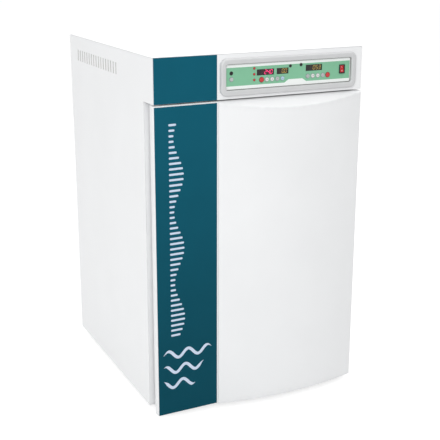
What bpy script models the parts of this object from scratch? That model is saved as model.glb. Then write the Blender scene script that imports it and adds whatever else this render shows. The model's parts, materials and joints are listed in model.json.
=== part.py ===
"""Carbon dioxide incubator with an orbital shaker, built as an assembly of separate pieces.

Metres, +Z up. The front faces -Y, +X is to the right as one faces the cabinet, and the origin is
on the floor under the middle of the object's box. Every size below is a real one.
"""

import math

import bmesh
import bpy
from mathutils import Matrix, Vector

MM = 0.001
GAP = 0.3 * MM
SHEET = 1.5 * MM

# Cabinet
WIDTH = 620 * MM
DEPTH = 680 * MM
HEIGHT = 1000 * MM
FOOT_HEIGHT = 22 * MM
FOOT_RADIUS = 20 * MM
FOOT_INSET = 60 * MM
HEAD_HEIGHT = 118 * MM
HEAD_DEPTH = 65 * MM
HEAD_FLANGE = 15 * MM
REAR_REACH = 22 * MM

# Vent slots in the side panels
VENT_FROM_REAR = 72 * MM
VENT_FROM_TOP = 57.5 * MM
VENT_LENGTH = 346 * MM
SLOT_HEIGHT = 33 * MM
SLOT_WIDTH = 10 * MM
SLOT_PITCH = 21 * MM

# Outer door
DOOR_DROP = 4 * MM
DOOR_GAP = 4 * MM
DOOR_LIP = 19 * MM
DOOR_REAR = 58 * MM
DOOR_SKIN = 2 * MM
DOOR_EDGE_RADIUS = 4 * MM
GRIP_INSET = 13 * MM
HINGE_FROM_SIDE = 14 * MM
HINGE_FROM_REAR = 30 * MM
HINGE_PIN_RADIUS = 4 * MM
HINGE_PIN_REACH = 24 * MM
BRACKET_WIDTH = 20 * MM
BRACKET_THICKNESS = 5 * MM
BRACKET_TAIL = 70 * MM
BRACKET_NOSE = 10 * MM
BRACKET_CLEAR = 1.5 * MM
SEAL_WIDTH = 12 * MM
SEAL_MARGIN = 9 * MM
SEAL_EDGE = 1.5 * MM
CORE_EDGE = 2 * MM

# Bowed panel and teal strip
STRIP_WIDTH = 175 * MM
STRIP_MARGIN = 2.3 * MM
STRIP_END_MARGIN = 3 * MM
STRIP_THICKNESS = 0.6 * MM
BOW_FROM_STRIP = 3.7 * MM
BOW_STEP = 4 * MM
BOW_RISE = 27 * MM
BOW_WALL = 2.5 * MM
BOW_EDGE = 1 * MM
BOW_LEDGE = 1.5 * MM
BOW_TOP_SLOPE = 0.755
BOW_SPANS = 18

# Front frame and chamber
FRAME_DEPTH = 29 * MM
RECESS_DEPTH = 25 * MM
RECESS_MARGIN = 35 * MM
OPENING_LIP = 18 * MM
SIDE_INSULATION = 60 * MM
REAR_INSULATION = 79.7 * MM
FLOOR_INSULATION = 58 * MM
ROOF_INSULATION = 74 * MM
LEDGE_WIDTH = 12 * MM
LEDGE_HEIGHT = 4 * MM
SHELF_HEIGHT = 400 * MM
SHELF_SLOTS_ACROSS = 8
SHELF_SLOTS_DEEP = 5
SLOT_SHARE_ACROSS = 0.35
SLOT_SHARE_DEEP = 0.7
SHELF_CLEAR = 2 * MM
SHELF_TURN_DOWN = 12 * MM
PORT_RADIUS = 20 * MM
PORT_HEIGHT = 560 * MM
PORT_FROM_WALL = 70 * MM
PORT_WALL = 1.5 * MM
SHAFT_CLEAR = 5 * MM

# Glass door
GLASS = 5 * MM
GLASS_MARGIN = 6 * MM
GLASS_EDGE = 0.8 * MM
GLASS_SEAL_MARGIN = 1 * MM
GLASS_SEAL_WIDTH = 10 * MM
GLASS_REST = 14.5 * MM
GLASS_PIVOT_FROM_RECESS = 10 * MM
GLASS_PIN_RADIUS = 3 * MM
GLASS_PIN_REACH = 5 * MM
STILE_WIDTH = 18 * MM
STILE_DEPTH = 12 * MM
KNOB_RADIUS = 12 * MM
KNOB_LENGTH = 14 * MM

# Control bezel and what it holds. A share is a place across the bezel's inner width.
BEZEL_FROM_STRIP = 7.7 * MM
BEZEL_FROM_RIGHT = 23 * MM
BEZEL_HEIGHT = 97 * MM
BEZEL_RISE = 10 * MM
BEZEL_RAIL = 15 * MM
BEZEL_RADIUS = 18 * MM
BEZEL_INNER_RADIUS = 5 * MM
BEZEL_EDGE = 3 * MM
BEZEL_CENTRE_DROP = 61.5 * MM
OVERLAY = 2 * MM
WINDOW_MARGIN = 5 * MM
BOARD_BEHIND = 9 * MM
BOARD = 1.6 * MM
BOARD_MARGIN_ACROSS = 2 * MM
BOARD_MARGIN_UP = 1 * MM
POST_RADIUS = 2.25 * MM
POST_FROM_EDGE = 2.5 * MM
DISPLAYS = {
    "left": (0.3074, 0.1374, 8 * MM, 17 * MM),
    "middle": (0.4426, 0.0969, 8 * MM, 17 * MM),
    "right": (0.695, 0.1374, 11.5 * MM, 18 * MM),
}
DISPLAY_LAP = 0.5 * MM
LED_SHARE = 0.2204
LED_RISES = (19.3 * MM, 4.1 * MM, -10.9 * MM)
LED_RADIUS = 2.5 * MM
LED_PROUD = 1.5 * MM
BUTTON_ROWS = {"left": (0.3595, -11.5 * MM, 0), "right": (0.7269, -10.5 * MM, 4)}
BUTTONS_IN_ROW = 5
BUTTON_PITCH = 15.7 * MM
BUTTON_RADIUS = 5.5 * MM
RED_BUTTON_RADIUS = 6.2 * MM
BUTTON_PROUD = 2.6 * MM
BUTTON_CROWN = 0.3 * MM
BUTTON_SHOULDER = 1.1 * MM
BUTTON_STEM_RADIUS = 2 * MM
BUTTON_TRAVEL = 0.7 * MM
BUTTON_FIT = 0.4 * MM
COLLAR = 1.2 * MM
COLLAR_THICKNESS = 1.5 * MM
STEM_CLEAR = 0.2 * MM
MUTE_SHARE = 0.0457
MUTE_DROP = -5.5 * MM
SOUND_HOLES = (
    (0.0452, 10.1 * MM, 4.5 * MM),
    (0.5034, 19.8 * MM, 3.5 * MM),
    (0.589, 21.4 * MM, 3.75 * MM),
)
ROCKER_SHARE = 0.9269
ROCKER_RISE = 2.5 * MM
ROCKER_FRAME_WIDTH = 17.7 * MM
ROCKER_FRAME_HEIGHT = 24.5 * MM
ROCKER_FLANGE = 2 * MM
ROCKER_RIM = 1.55 * MM
ROCKER_WALL = 0.9 * MM
ROCKER_BODY_DEPTH = 16 * MM
ROCKER_TILT = math.radians(8)
ROCKER_PIN_RADIUS = 1.2 * MM
ROCKER_PIVOT_DEPTH = 2 * MM
ROCKER_CORNER = 1.5 * MM
ROCKER_EDGE = 0.4 * MM
ROCKER_FACE_RISE = 3.2 * MM
ROCKER_END_CLEAR = 0.8 * MM
ROCKER_SKIRT = 2 * MM
ROCKER_KEEL = 5 * MM

# Shaker
ORBIT = 12.5 * MM
BASE_PLATE = 6 * MM
BASE_FROM_SIDE = 50 * MM
BASE_FROM_FRONT = 73 * MM
BASE_CORNER = 15 * MM
BEARING_TOP = 28 * MM
MAIN_BEARING_RADIUS = 25 * MM
IDLER_BEARING_RADIUS = 20 * MM
MAIN_SHAFT_RADIUS = 10 * MM
IDLER_SHAFT_RADIUS = 8 * MM
SHAFT_FIT = 0.4 * MM
PULLEY_RADIUS = 60 * MM
MOTOR_PULLEY_RADIUS = 20 * MM
PULLEY_FLANGE = 4 * MM
PULLEY_RIM = 1.5 * MM
PULLEY_BOTTOM = 30 * MM
PULLEY_HEIGHT = 12 * MM
WEB_BOTTOM = 44 * MM
WEB_HEIGHT = 8 * MM
COUNTERWEIGHT_RADIUS = 52 * MM
CRANK_PIN_RADIUS = 6 * MM
CRANK_PIN_CLEAR = 2 * MM
WEB_MARGIN = 6 * MM
PLATFORM_BOSS_RADIUS = 18 * MM
PLATFORM_BOSS_BOTTOM = 54 * MM
PLATFORM_BOTTOM = 66 * MM
PLATFORM_SIDE_CLEAR = 22.5 * MM
PLATFORM_END_CLEAR = 40.5 * MM
PLATFORM_WALL = 3 * MM
PLATFORM_RIM = 18 * MM
PLATFORM_EDGE = 6 * MM
BOSS_CAP = 1 * MM
BOLT_RADIUS = 3 * MM
IDLER_FROM_EDGE = 50 * MM
MOTOR_FROM_EDGE = 60 * MM
MOTOR_RADIUS = 42 * MM
MOTOR_SHAFT_RADIUS = 4 * MM
MOTOR_EDGE = 2 * MM
MOTOR_SOCKET = 10 * MM
HUB_RISE = 2 * MM
BELT = 2.5 * MM
BELT_FIT = 0.5 * MM

# Air circulation
FAN_RADIUS = 70 * MM
FAN_BLADES = 12
FAN_DROP = 10 * MM
FAN_BLADE_HEIGHT = 28 * MM
FAN_BLADE = 1.6 * MM
FAN_SHAFT_RADIUS = 5 * MM
FAN_MOTOR_RADIUS = 38 * MM
FAN_MOTOR_HEIGHT = 45 * MM
FAN_MOTOR_EDGE = 3 * MM
FAN_SOCKET = 15 * MM
FAN_DISC = 2 * MM
FAN_HUB_RADIUS = 14 * MM
DUCT_FROM_SIDE = 60 * MM
DUCT_FROM_END = 63 * MM
DUCT_OUTLETS = 5
DUCT_EDGE = 4 * MM
DUCT_DROP = 46 * MM
DUCT_INLET_RADIUS = 52 * MM
PROBE_FROM_WALL = 32 * MM
PROBE_FLANGE = 3 * MM
PROBE_RADIUS = 6 * MM
PROBE_LENGTH = 70 * MM

# Rear fittings
INLET_WIDTH = 48 * MM
INLET_HEIGHT = 28 * MM
INLET_FLANGE = 3 * MM
INLET_FROM_SIDE = 90 * MM
INLET_RISE = 60 * MM
INLET_CORNER = 2 * MM
INLET_DEPTH = 28 * MM
INLET_WALL = 1.5 * MM
INLET_PINS = ((-7 * MM, -3 * MM), (0, 3 * MM), (7 * MM, -3 * MM))
INLET_PIN_WIDTH = 2 * MM
INLET_PIN_HEIGHT = 4 * MM
INLET_PIN_SET_BACK = 6 * MM
FITTING_CLEAR = 12 * MM
GAS_RADIUS = 5 * MM
GAS_RISE = 150 * MM
GAS_NUT = 6 * MM
GAS_STEM = 12 * MM
GAS_BARBS = 3
GAS_BARB_PITCH = 4 * MM
GAS_BARB_STEP = 0.5 * MM
PLUG_FLANGE_RADIUS = 27 * MM
PLUG_FLANGE = 12 * MM
PLUG_REACH = 45 * MM
PLUG_FIT = 0.5 * MM

# Places that follow from the sizes
BOW_REACH = BOW_STEP + BOW_RISE
FRONT = -(DEPTH + REAR_REACH - BOW_REACH) / 2
REAR = FRONT + DEPTH
LEFT = -WIDTH / 2
RIGHT = WIDTH / 2
INNER_X = WIDTH / 2 - SHEET - GAP
BASE_Z = FOOT_HEIGHT
HEAD_BOTTOM = HEIGHT - HEAD_HEIGHT
DOOR_BOTTOM = BASE_Z - DOOR_DROP
DOOR_TOP = HEAD_BOTTOM - DOOR_GAP
FRAME_FRONT = FRONT + HEAD_DEPTH
CHAMBER_WIDTH = WIDTH - 2 * SIDE_INSULATION
CHAMBER_DEPTH = DEPTH - HEAD_DEPTH - FRAME_DEPTH - GAP - REAR_INSULATION
CHAMBER_FRONT = FRAME_FRONT + FRAME_DEPTH + GAP
CHAMBER_REAR = CHAMBER_FRONT + CHAMBER_DEPTH
CHAMBER_BOTTOM = BASE_Z + FLOOR_INSULATION
CHAMBER_TOP = HEAD_BOTTOM - ROOF_INSULATION
CHAMBER_Y = (CHAMBER_FRONT + CHAMBER_REAR) / 2
OPENING_X = CHAMBER_WIDTH / 2 - OPENING_LIP
OPENING_BOTTOM = CHAMBER_BOTTOM + OPENING_LIP
OPENING_TOP = CHAMBER_TOP - OPENING_LIP
RECESS_X = OPENING_X + RECESS_MARGIN
RECESS_BOTTOM = OPENING_BOTTOM - RECESS_MARGIN
RECESS_TOP = OPENING_TOP + RECESS_MARGIN
HINGE_X = RIGHT - HINGE_FROM_SIDE
HINGE_Y = FRONT + DOOR_REAR - HINGE_FROM_REAR
GLASS_FRONT = FRAME_FRONT + GLASS_REST - GLASS / 2
GLASS_PIVOT_X = RECESS_X - GLASS_PIVOT_FROM_RECESS
GLASS_PIVOT_Y = FRAME_FRONT + GLASS_REST
GLASS_BOTTOM = RECESS_BOTTOM + GLASS_MARGIN
GLASS_TOP = RECESS_TOP - GLASS_MARGIN
STRIP_RIGHT = LEFT + STRIP_MARGIN + STRIP_WIDTH
BEZEL_LEFT = STRIP_RIGHT + BEZEL_FROM_STRIP
BEZEL_RIGHT = RIGHT - BEZEL_FROM_RIGHT
BEZEL_Z = HEIGHT - BEZEL_CENTRE_DROP
OVERLAY_FRONT = FRONT - GAP - OVERLAY
PORT_X = CHAMBER_WIDTH / 2 - PORT_FROM_WALL
INLET_X = RIGHT - INLET_FROM_SIDE
BASE_WIDTH = CHAMBER_WIDTH - 2 * BASE_FROM_SIDE
BASE_DEPTH = CHAMBER_DEPTH - 2 * BASE_FROM_FRONT
IDLER_X = BASE_WIDTH / 2 - IDLER_FROM_EDGE
IDLER_Y = BASE_DEPTH / 2 - IDLER_FROM_EDGE
MOTOR_X = MOTOR_FROM_EDGE - BASE_WIDTH / 2
MOTOR_Y = BASE_DEPTH / 2 - MOTOR_FROM_EDGE
PLATFORM_WIDTH = CHAMBER_WIDTH - 2 * (ORBIT + PLATFORM_SIDE_CLEAR)
PLATFORM_DEPTH = CHAMBER_DEPTH - 2 * (ORBIT + PLATFORM_END_CLEAR)
DUCT_WIDTH = CHAMBER_WIDTH - 2 * DUCT_FROM_SIDE
DUCT_DEPTH = CHAMBER_DEPTH - 2 * DUCT_FROM_END
PROBE_X = CHAMBER_WIDTH / 2 - PROBE_FROM_WALL

COLOURS = {
    "powder_coat": ((0.86, 0.86, 0.86), 0.45, 0.0),
    "teal_film": ((0.005, 0.075, 0.105), 0.35, 0.0),
    "bezel_grey": ((0.60, 0.59, 0.60), 0.45, 0.0),
    "mint_film": ((0.22, 0.52, 0.33), 0.4, 0.0),
    "black_plastic": ((0.02, 0.02, 0.02), 0.4, 0.0),
    "red_plastic": ((0.60, 0.02, 0.03), 0.35, 0.0),
    "grey_plastic": ((0.62, 0.64, 0.64), 0.4, 0.0),
    "board_green": ((0.02, 0.16, 0.06), 0.5, 0.0),
    "stainless": ((0.62, 0.61, 0.59), 0.3, 1.0),
    "steel": ((0.45, 0.45, 0.46), 0.35, 1.0),
    "aluminium": ((0.72, 0.72, 0.73), 0.4, 1.0),
    "rubber": ((0.025, 0.025, 0.025), 0.8, 0.0),
    "silicone": ((0.55, 0.56, 0.57), 0.6, 0.0),
    "foam": ((0.72, 0.62, 0.36), 0.9, 0.0),
    "glass": ((0.80, 0.90, 0.88), 0.05, 0.0),
    "brass": ((0.66, 0.47, 0.18), 0.3, 1.0),
}


# Scene helpers


def clear_scene():
    """Remove whatever objects the scene opened with."""
    for obj in list(bpy.data.objects):
        bpy.data.objects.remove(obj)


def new_collection(name):
    found = bpy.data.collections.new(name)
    bpy.context.scene.collection.children.link(found)
    return found


def make_material(name, colour, roughness, metallic):
    material = bpy.data.materials.new(name)
    material.use_nodes = True
    shader = material.node_tree.nodes["Principled BSDF"]
    shader.inputs["Base Color"].default_value = (*colour, 1.0)
    shader.inputs["Roughness"].default_value = roughness
    shader.inputs["Metallic"].default_value = metallic
    return material


clear_scene()
PIECES = new_collection("incubator")
CUTTERS = new_collection("cutters")
MATERIALS = {name: make_material(name, *values) for name, values in COLOURS.items()}


def add_piece(name, mesh, finish, location, rotation=(0.0, 0.0, 0.0)):
    """One piece of the object, with its material, placed by its location and rotation."""
    if not mesh.materials:
        mesh.materials.append(MATERIALS[finish])
    piece = bpy.data.objects.new(name, mesh)
    piece.location = location
    piece.rotation_euler = rotation
    PIECES.objects.link(piece)
    return piece


def make_pivot(name, location):
    """An empty on a joint's axis, which carries the pieces that turn or slide there."""
    pivot = bpy.data.objects.new(name, None)
    pivot.location = location
    PIECES.objects.link(pivot)
    return pivot


def carry(pivot, *pieces):
    """Parent the pieces to the pivot, each staying where it is."""
    for piece in pieces:
        piece.parent = pivot
        piece.location = piece.location - pivot.location


def boolean(piece, tool, operation):
    """Cut the tool from the piece, or join it on. The tool is left as a hidden helper."""
    modifier = piece.modifiers.new(tool.name, "BOOLEAN")
    modifier.operation = operation
    modifier.solver = "EXACT"
    modifier.object = tool
    PIECES.objects.unlink(tool)
    CUTTERS.objects.link(tool)
    tool.hide_render = True
    tool.display_type = "WIRE"


def cut(piece, *tools):
    for tool in tools:
        boolean(piece, tool, "DIFFERENCE")


def join(piece, *tools):
    for tool in tools:
        boolean(piece, tool, "UNION")


def round_edges(piece, radius, segments=2, angle=60):
    bevel = piece.modifiers.new("rounded edges", "BEVEL")
    bevel.width = radius
    bevel.segments = segments
    bevel.limit_method = "ANGLE"
    bevel.angle_limit = math.radians(angle)


def shade(piece, angle=40):
    piece.data.shade_smooth()
    piece.data.set_sharp_from_angle(angle=math.radians(angle))


# Basic shapes

AXIS_TURNS = {
    "+Z": (0.0, 0.0, 0.0),
    "+Y": (-math.pi / 2, 0.0, 0.0),
    "-Y": (math.pi / 2, 0.0, 0.0),
    "+X": (0.0, math.pi / 2, 0.0),
}
PLANE_TURNS = {
    "XY": (0.0, 0.0, 0.0),
    "XZ": (math.pi / 2, 0.0, 0.0),
    "YZ": (math.pi / 2, 0.0, math.pi / 2),
}


def cube_mesh(name, size, open_side=None):
    """A box about its own middle. open_side is the direction of a face to leave out."""
    shape = bmesh.new()
    bmesh.ops.create_cube(shape, size=1.0, matrix=Matrix.Diagonal((*size, 1.0)))
    if open_side:
        shape.normal_update()
        lost = [face for face in shape.faces if face.normal.dot(Vector(open_side)) > 0.9]
        bmesh.ops.delete(shape, geom=lost, context="FACES")
    mesh = bpy.data.meshes.new(name)
    shape.to_mesh(mesh)
    shape.free()
    return mesh


def box(name, low, high, finish="powder_coat", radius=0.0, segments=2):
    low = Vector(low)
    high = Vector(high)
    piece = add_piece(name, cube_mesh(name, high - low), finish, (low + high) / 2)
    if radius:
        round_edges(piece, radius, segments)
    return piece


def tray(name, low, high, open_side, wall, finish, radius=0.0, outward=False):
    """A box of sheet with one side left open. The wall grows inward, or outward from the given box."""
    low = Vector(low)
    high = Vector(high)
    piece = add_piece(name, cube_mesh(name, high - low, open_side), finish, (low + high) / 2)
    if radius:
        round_edges(piece, radius, 3)
    shell = piece.modifiers.new("sheet", "SOLIDIFY")
    shell.thickness = wall
    shell.offset = 1.0 if outward else -1.0
    shell.use_even_offset = True
    return piece


def cylinder(name, radius, start, end, axis="+Z", finish="steel", sides=16):
    """A round bar from start to end, which differ along the axis alone."""
    start = Vector(start)
    end = Vector(end)
    shape = bmesh.new()
    bmesh.ops.create_cone(
        shape, cap_ends=True, segments=sides, radius1=radius, radius2=radius, depth=(end - start).length
    )
    mesh = bpy.data.meshes.new(name)
    shape.to_mesh(mesh)
    shape.free()
    piece = add_piece(name, mesh, finish, (start + end) / 2, AXIS_TURNS[axis])
    shade(piece)
    return piece


def turned(name, profile, centre, axis="+Z", finish="steel", sides=20):
    """A turned piece. The profile runs (radius, height) from the top of the axis to its foot."""
    mesh = bpy.data.meshes.new(name)
    edges = [(index, index + 1) for index in range(len(profile) - 1)]
    mesh.from_pydata([(radius, 0.0, height) for radius, height in profile], edges, [])
    piece = add_piece(name, mesh, finish, centre, AXIS_TURNS[axis])
    screw = piece.modifiers.new("turned", "SCREW")
    screw.steps = sides
    screw.render_steps = sides
    screw.use_merge_vertices = True
    screw.merge_threshold = 0.00001
    screw.use_smooth_shade = True
    return piece


def plate(name, loops, thickness, origin, plane="XZ", finish="powder_coat", radius=0.0, segments=1):
    """A flat outline, with any holes as further loops, thickened equally to both sides of its plane.

    Outline points are (across, up) from the origin, in the plane's own two directions.
    """
    curve = bpy.data.curves.new(name, "CURVE")
    curve.dimensions = "2D"
    curve.fill_mode = "BOTH"
    curve.extrude = thickness / 2
    for loop in loops:
        spline = curve.splines.new("POLY")
        spline.points.add(len(loop) - 1)
        spline.use_cyclic_u = True
        for point, (across, up) in zip(spline.points, loop):
            point.co = (across, up, 0.0, 1.0)
    drawn = bpy.data.objects.new(name, curve)
    bpy.context.scene.collection.objects.link(drawn)
    bpy.context.view_layer.update()
    mesh = bpy.data.meshes.new_from_object(drawn.evaluated_get(bpy.context.evaluated_depsgraph_get()))
    bpy.data.objects.remove(drawn)
    shape = bmesh.new()
    shape.from_mesh(mesh)
    bmesh.ops.remove_doubles(shape, verts=shape.verts, dist=0.00001)
    bmesh.ops.recalc_face_normals(shape, faces=shape.faces)
    shape.to_mesh(mesh)
    shape.free()
    piece = add_piece(name, mesh, finish, origin, PLANE_TURNS[plane])
    if radius:
        round_edges(piece, radius, segments)
    return piece


# Outlines


def rectangle(low_x, low_y, high_x, high_y):
    return [(low_x, low_y), (high_x, low_y), (high_x, high_y), (low_x, high_y)]


def centred_rectangle(x, y, width, height):
    return rectangle(x - width / 2, y - height / 2, x + width / 2, y + height / 2)


def arc(x, y, radius, start, end, steps):
    """Points from one angle to another, in degrees, both ends included."""
    turns = [math.radians(start + (end - start) * step / steps) for step in range(steps + 1)]
    return [(x + radius * math.cos(turn), y + radius * math.sin(turn)) for turn in turns]


def circle(x, y, radius, sides=16):
    return arc(x, y, radius, 0, 360, sides)[:-1]


def rounded_rectangle(low_x, low_y, high_x, high_y, radius, steps=4):
    corners = (
        (high_x - radius, high_y - radius, 0),
        (low_x + radius, high_y - radius, 90),
        (low_x + radius, low_y + radius, 180),
        (high_x - radius, low_y + radius, 270),
    )
    return [point for x, y, turn in corners for point in arc(x, y, radius, turn, turn + 90, steps)]


# Cabinet


def vent_slots(first, last, low, high):
    """A row of upright slots between two places, as many as the pitch allows."""
    count = int((last - first - SLOT_WIDTH) / SLOT_PITCH) + 1
    start = (first + last - (count - 1) * SLOT_PITCH) / 2
    centres = [start + index * SLOT_PITCH for index in range(count)]
    return [rectangle(x - SLOT_WIDTH / 2, low, x + SLOT_WIDTH / 2, high) for x in centres]


def build_side_panels():
    """Each side is one sheet: full depth at the head, set back behind the door below it."""
    top = HEIGHT - SHEET - GAP
    outline = [
        (FRONT, HEAD_BOTTOM),
        (FRONT, top),
        (REAR, top),
        (REAR, BASE_Z),
        (FRAME_FRONT, BASE_Z),
        (FRAME_FRONT, HEAD_BOTTOM),
    ]
    slot_middle = HEIGHT - VENT_FROM_TOP
    slots = vent_slots(
        REAR - VENT_FROM_REAR - VENT_LENGTH,
        REAR - VENT_FROM_REAR,
        slot_middle - SLOT_HEIGHT / 2,
        slot_middle + SLOT_HEIGHT / 2,
    )
    for side, x in (("left", LEFT + SHEET / 2), ("right", RIGHT - SHEET / 2)):
        plate(f"{side}_side_panel", [outline, *slots], SHEET, (x, 0, 0), "YZ")


def build_covers():
    """Top cover, base pan and rear panel, each a sheet between or over the side panels."""
    box("top_cover", (LEFT, FRONT, HEIGHT - SHEET), (RIGHT, REAR, HEIGHT))
    box(
        "base_pan",
        (-INNER_X, FRAME_FRONT, BASE_Z),
        (INNER_X, REAR - SHEET - GAP, BASE_Z + SHEET),
    )
    port_z = CHAMBER_BOTTOM + PORT_HEIGHT
    holes = [
        circle(PORT_X, port_z, PORT_RADIUS + PORT_WALL + GAP, 24),
        circle(INLET_X, BASE_Z + GAS_RISE, GAS_RADIUS + GAP, 16),
        centred_rectangle(
            INLET_X,
            BASE_Z + INLET_RISE,
            INLET_WIDTH - 2 * INLET_FLANGE + 2 * GAP,
            INLET_HEIGHT - 2 * INLET_FLANGE + 2 * GAP,
        ),
    ]
    slot_middle = HEIGHT - VENT_FROM_TOP
    slots = vent_slots(
        -VENT_LENGTH / 4, VENT_LENGTH / 4, slot_middle - SLOT_HEIGHT / 2, slot_middle + SLOT_HEIGHT / 2
    )
    outline = rectangle(-INNER_X, BASE_Z, INNER_X, HEIGHT - SHEET - GAP)
    plate("rear_panel", [outline, *holes, *slots], SHEET, (0, REAR - SHEET / 2, 0))


def build_head():
    """The fascia is one bent sheet, with flanges along its top and under the head.

    The door's upper hinge pin is welded to the lower flange.
    """
    top = HEIGHT - SHEET - GAP
    outline = [
        (FRONT, HEAD_BOTTOM),
        (FRAME_FRONT - GAP, HEAD_BOTTOM),
        (FRAME_FRONT - GAP, HEAD_BOTTOM + SHEET),
        (FRONT + SHEET, HEAD_BOTTOM + SHEET),
        (FRONT + SHEET, top - SHEET),
        (FRONT + HEAD_FLANGE, top - SHEET),
        (FRONT + HEAD_FLANGE, top),
        (FRONT, top),
    ]
    head = plate("head_front_panel", [outline], 2 * INNER_X, (0, 0, 0), "YZ")
    inner_half = BEZEL_HEIGHT / 2 - BEZEL_RAIL - WINDOW_MARGIN + GAP
    cut(
        head,
        box(
            "head_window_cut",
            (inner_left() + WINDOW_MARGIN, FRONT - SHEET, BEZEL_Z - inner_half),
            (inner_left() + inner_width() - WINDOW_MARGIN, FRONT + 2 * SHEET, BEZEL_Z + inner_half),
        ),
    )
    join(
        head,
        cylinder(
            "upper_hinge_pin",
            HINGE_PIN_RADIUS,
            (HINGE_X, HINGE_Y, HEAD_BOTTOM + SHEET / 2),
            (HINGE_X, HINGE_Y, DOOR_TOP - HINGE_PIN_REACH),
        ),
    )
    plate(
        "head_teal_strip",
        [rectangle(LEFT + STRIP_MARGIN, HEAD_BOTTOM + GAP, STRIP_RIGHT, top)],
        STRIP_THICKNESS,
        (0, FRONT - GAP - STRIP_THICKNESS / 2, 0),
        finish="teal_film",
    )


def build_feet():
    """Four turned rubber feet under the base pan, a little narrower at the floor."""
    profile = [
        (0, FOOT_HEIGHT - GAP),
        (FOOT_RADIUS, FOOT_HEIGHT - GAP),
        (FOOT_RADIUS, FOOT_HEIGHT / 2),
        (FOOT_RADIUS * 0.8, 0),
        (0, 0),
    ]
    front = FRAME_FRONT + FOOT_INSET
    rear = REAR - FOOT_INSET
    for side, x in (("left", LEFT + FOOT_INSET), ("right", RIGHT - FOOT_INSET)):
        for end, y in (("front", front), ("rear", rear)):
            turned(f"foot_{end}_{side}", profile, (x, y, 0), finish="rubber", sides=20)


def build_front_frame():
    """Moulded frame round the chamber opening, with the recess that the glass door sits in."""
    frame = box(
        "front_frame",
        (-INNER_X, FRAME_FRONT, BASE_Z + SHEET + GAP),
        (INNER_X, FRAME_FRONT + FRAME_DEPTH, HEAD_BOTTOM - GAP),
        "grey_plastic",
    )
    pin_hole = GLASS_PIN_RADIUS + GAP
    cut(
        frame,
        box(
            "recess_cut",
            (-RECESS_X, FRAME_FRONT - FRAME_DEPTH, RECESS_BOTTOM),
            (RECESS_X, FRAME_FRONT + RECESS_DEPTH, RECESS_TOP),
        ),
        box(
            "opening_cut",
            (-OPENING_X, FRAME_FRONT, OPENING_BOTTOM),
            (OPENING_X, FRAME_FRONT + 2 * FRAME_DEPTH, OPENING_TOP),
        ),
        cylinder(
            "lower_pin_hole",
            pin_hole,
            (GLASS_PIVOT_X, GLASS_PIVOT_Y, RECESS_BOTTOM - GLASS_PIN_REACH - GAP),
            (GLASS_PIVOT_X, GLASS_PIVOT_Y, RECESS_BOTTOM + GLASS_PIN_REACH),
            sides=16,
        ),
        cylinder(
            "upper_pin_hole",
            pin_hole,
            (GLASS_PIVOT_X, GLASS_PIVOT_Y, RECESS_TOP - GLASS_PIN_REACH),
            (GLASS_PIVOT_X, GLASS_PIVOT_Y, RECESS_TOP + GLASS_PIN_REACH + GAP),
            sides=16,
        ),
    )


def build_chamber():
    """Stainless liner in its insulation, with shelf ledges and the sleeve of the access port."""
    half = CHAMBER_WIDTH / 2
    liner = tray(
        "chamber_liner",
        (-half, CHAMBER_FRONT, CHAMBER_BOTTOM),
        (half, CHAMBER_REAR, CHAMBER_TOP),
        (0, -1, 0),
        SHEET,
        "stainless",
        outward=True,
    )
    port_z = CHAMBER_BOTTOM + PORT_HEIGHT
    ledge_z = CHAMBER_BOTTOM + SHELF_HEIGHT
    for side, low_x, high_x in (
        ("left", -half - SHEET / 2, -half + LEDGE_WIDTH),
        ("right", half - LEDGE_WIDTH, half + SHEET / 2),
    ):
        ledge = box(
            f"{side}_ledge",
            (low_x, CHAMBER_FRONT + LEDGE_WIDTH, ledge_z - LEDGE_HEIGHT),
            (high_x, CHAMBER_REAR - LEDGE_WIDTH, ledge_z),
        )
        join(liner, ledge)
    join(
        liner,
        cylinder(
            "port_sleeve",
            PORT_RADIUS + PORT_WALL,
            (PORT_X, CHAMBER_REAR + SHEET / 2, port_z),
            (PORT_X, REAR, port_z),
            "+Y",
        ),
    )
    cut(
        liner,
        cylinder(
            "port_bore",
            PORT_RADIUS,
            (PORT_X, CHAMBER_REAR - SHEET, port_z),
            (PORT_X, REAR + SHEET, port_z),
            "+Y",
        ),
        cylinder(
            "ceiling_hole",
            FAN_SHAFT_RADIUS + SHAFT_CLEAR,
            (0, CHAMBER_Y, CHAMBER_TOP - SHEET),
            (0, CHAMBER_Y, CHAMBER_TOP + 3 * SHEET),
        ),
    )
    jacket = box(
        "insulation_jacket",
        (-INNER_X, CHAMBER_FRONT, BASE_Z + SHEET + GAP),
        (INNER_X, REAR - SHEET - GAP, HEAD_BOTTOM - SHEET),
        "foam",
    )
    clear = SHEET + GAP
    inlet_z = BASE_Z + INLET_RISE
    cut(
        jacket,
        box(
            "liner_space",
            (-half - clear, CHAMBER_FRONT - clear, CHAMBER_BOTTOM - clear),
            (half + clear, CHAMBER_REAR + clear, CHAMBER_TOP + clear),
        ),
        cylinder(
            "sleeve_space",
            PORT_RADIUS + PORT_WALL + GAP,
            (PORT_X, CHAMBER_REAR, port_z),
            (PORT_X, REAR + SHEET, port_z),
            "+Y",
        ),
        cylinder(
            "shaft_space",
            FAN_SHAFT_RADIUS + SHAFT_CLEAR,
            (0, CHAMBER_Y, CHAMBER_TOP),
            (0, CHAMBER_Y, HEAD_BOTTOM + SHEET),
        ),
        box(
            "inlet_space",
            (INLET_X - INLET_WIDTH / 2, REAR - INLET_DEPTH - FITTING_CLEAR, inlet_z - INLET_HEIGHT / 2),
            (INLET_X + INLET_WIDTH / 2, REAR, inlet_z + INLET_HEIGHT / 2),
        ),
        cylinder(
            "gas_space",
            2 * GAS_RADIUS + GAP,
            (INLET_X, REAR - GAS_STEM - FITTING_CLEAR, BASE_Z + GAS_RISE),
            (INLET_X, REAR, BASE_Z + GAS_RISE),
            "+Y",
        ),
    )


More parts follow.
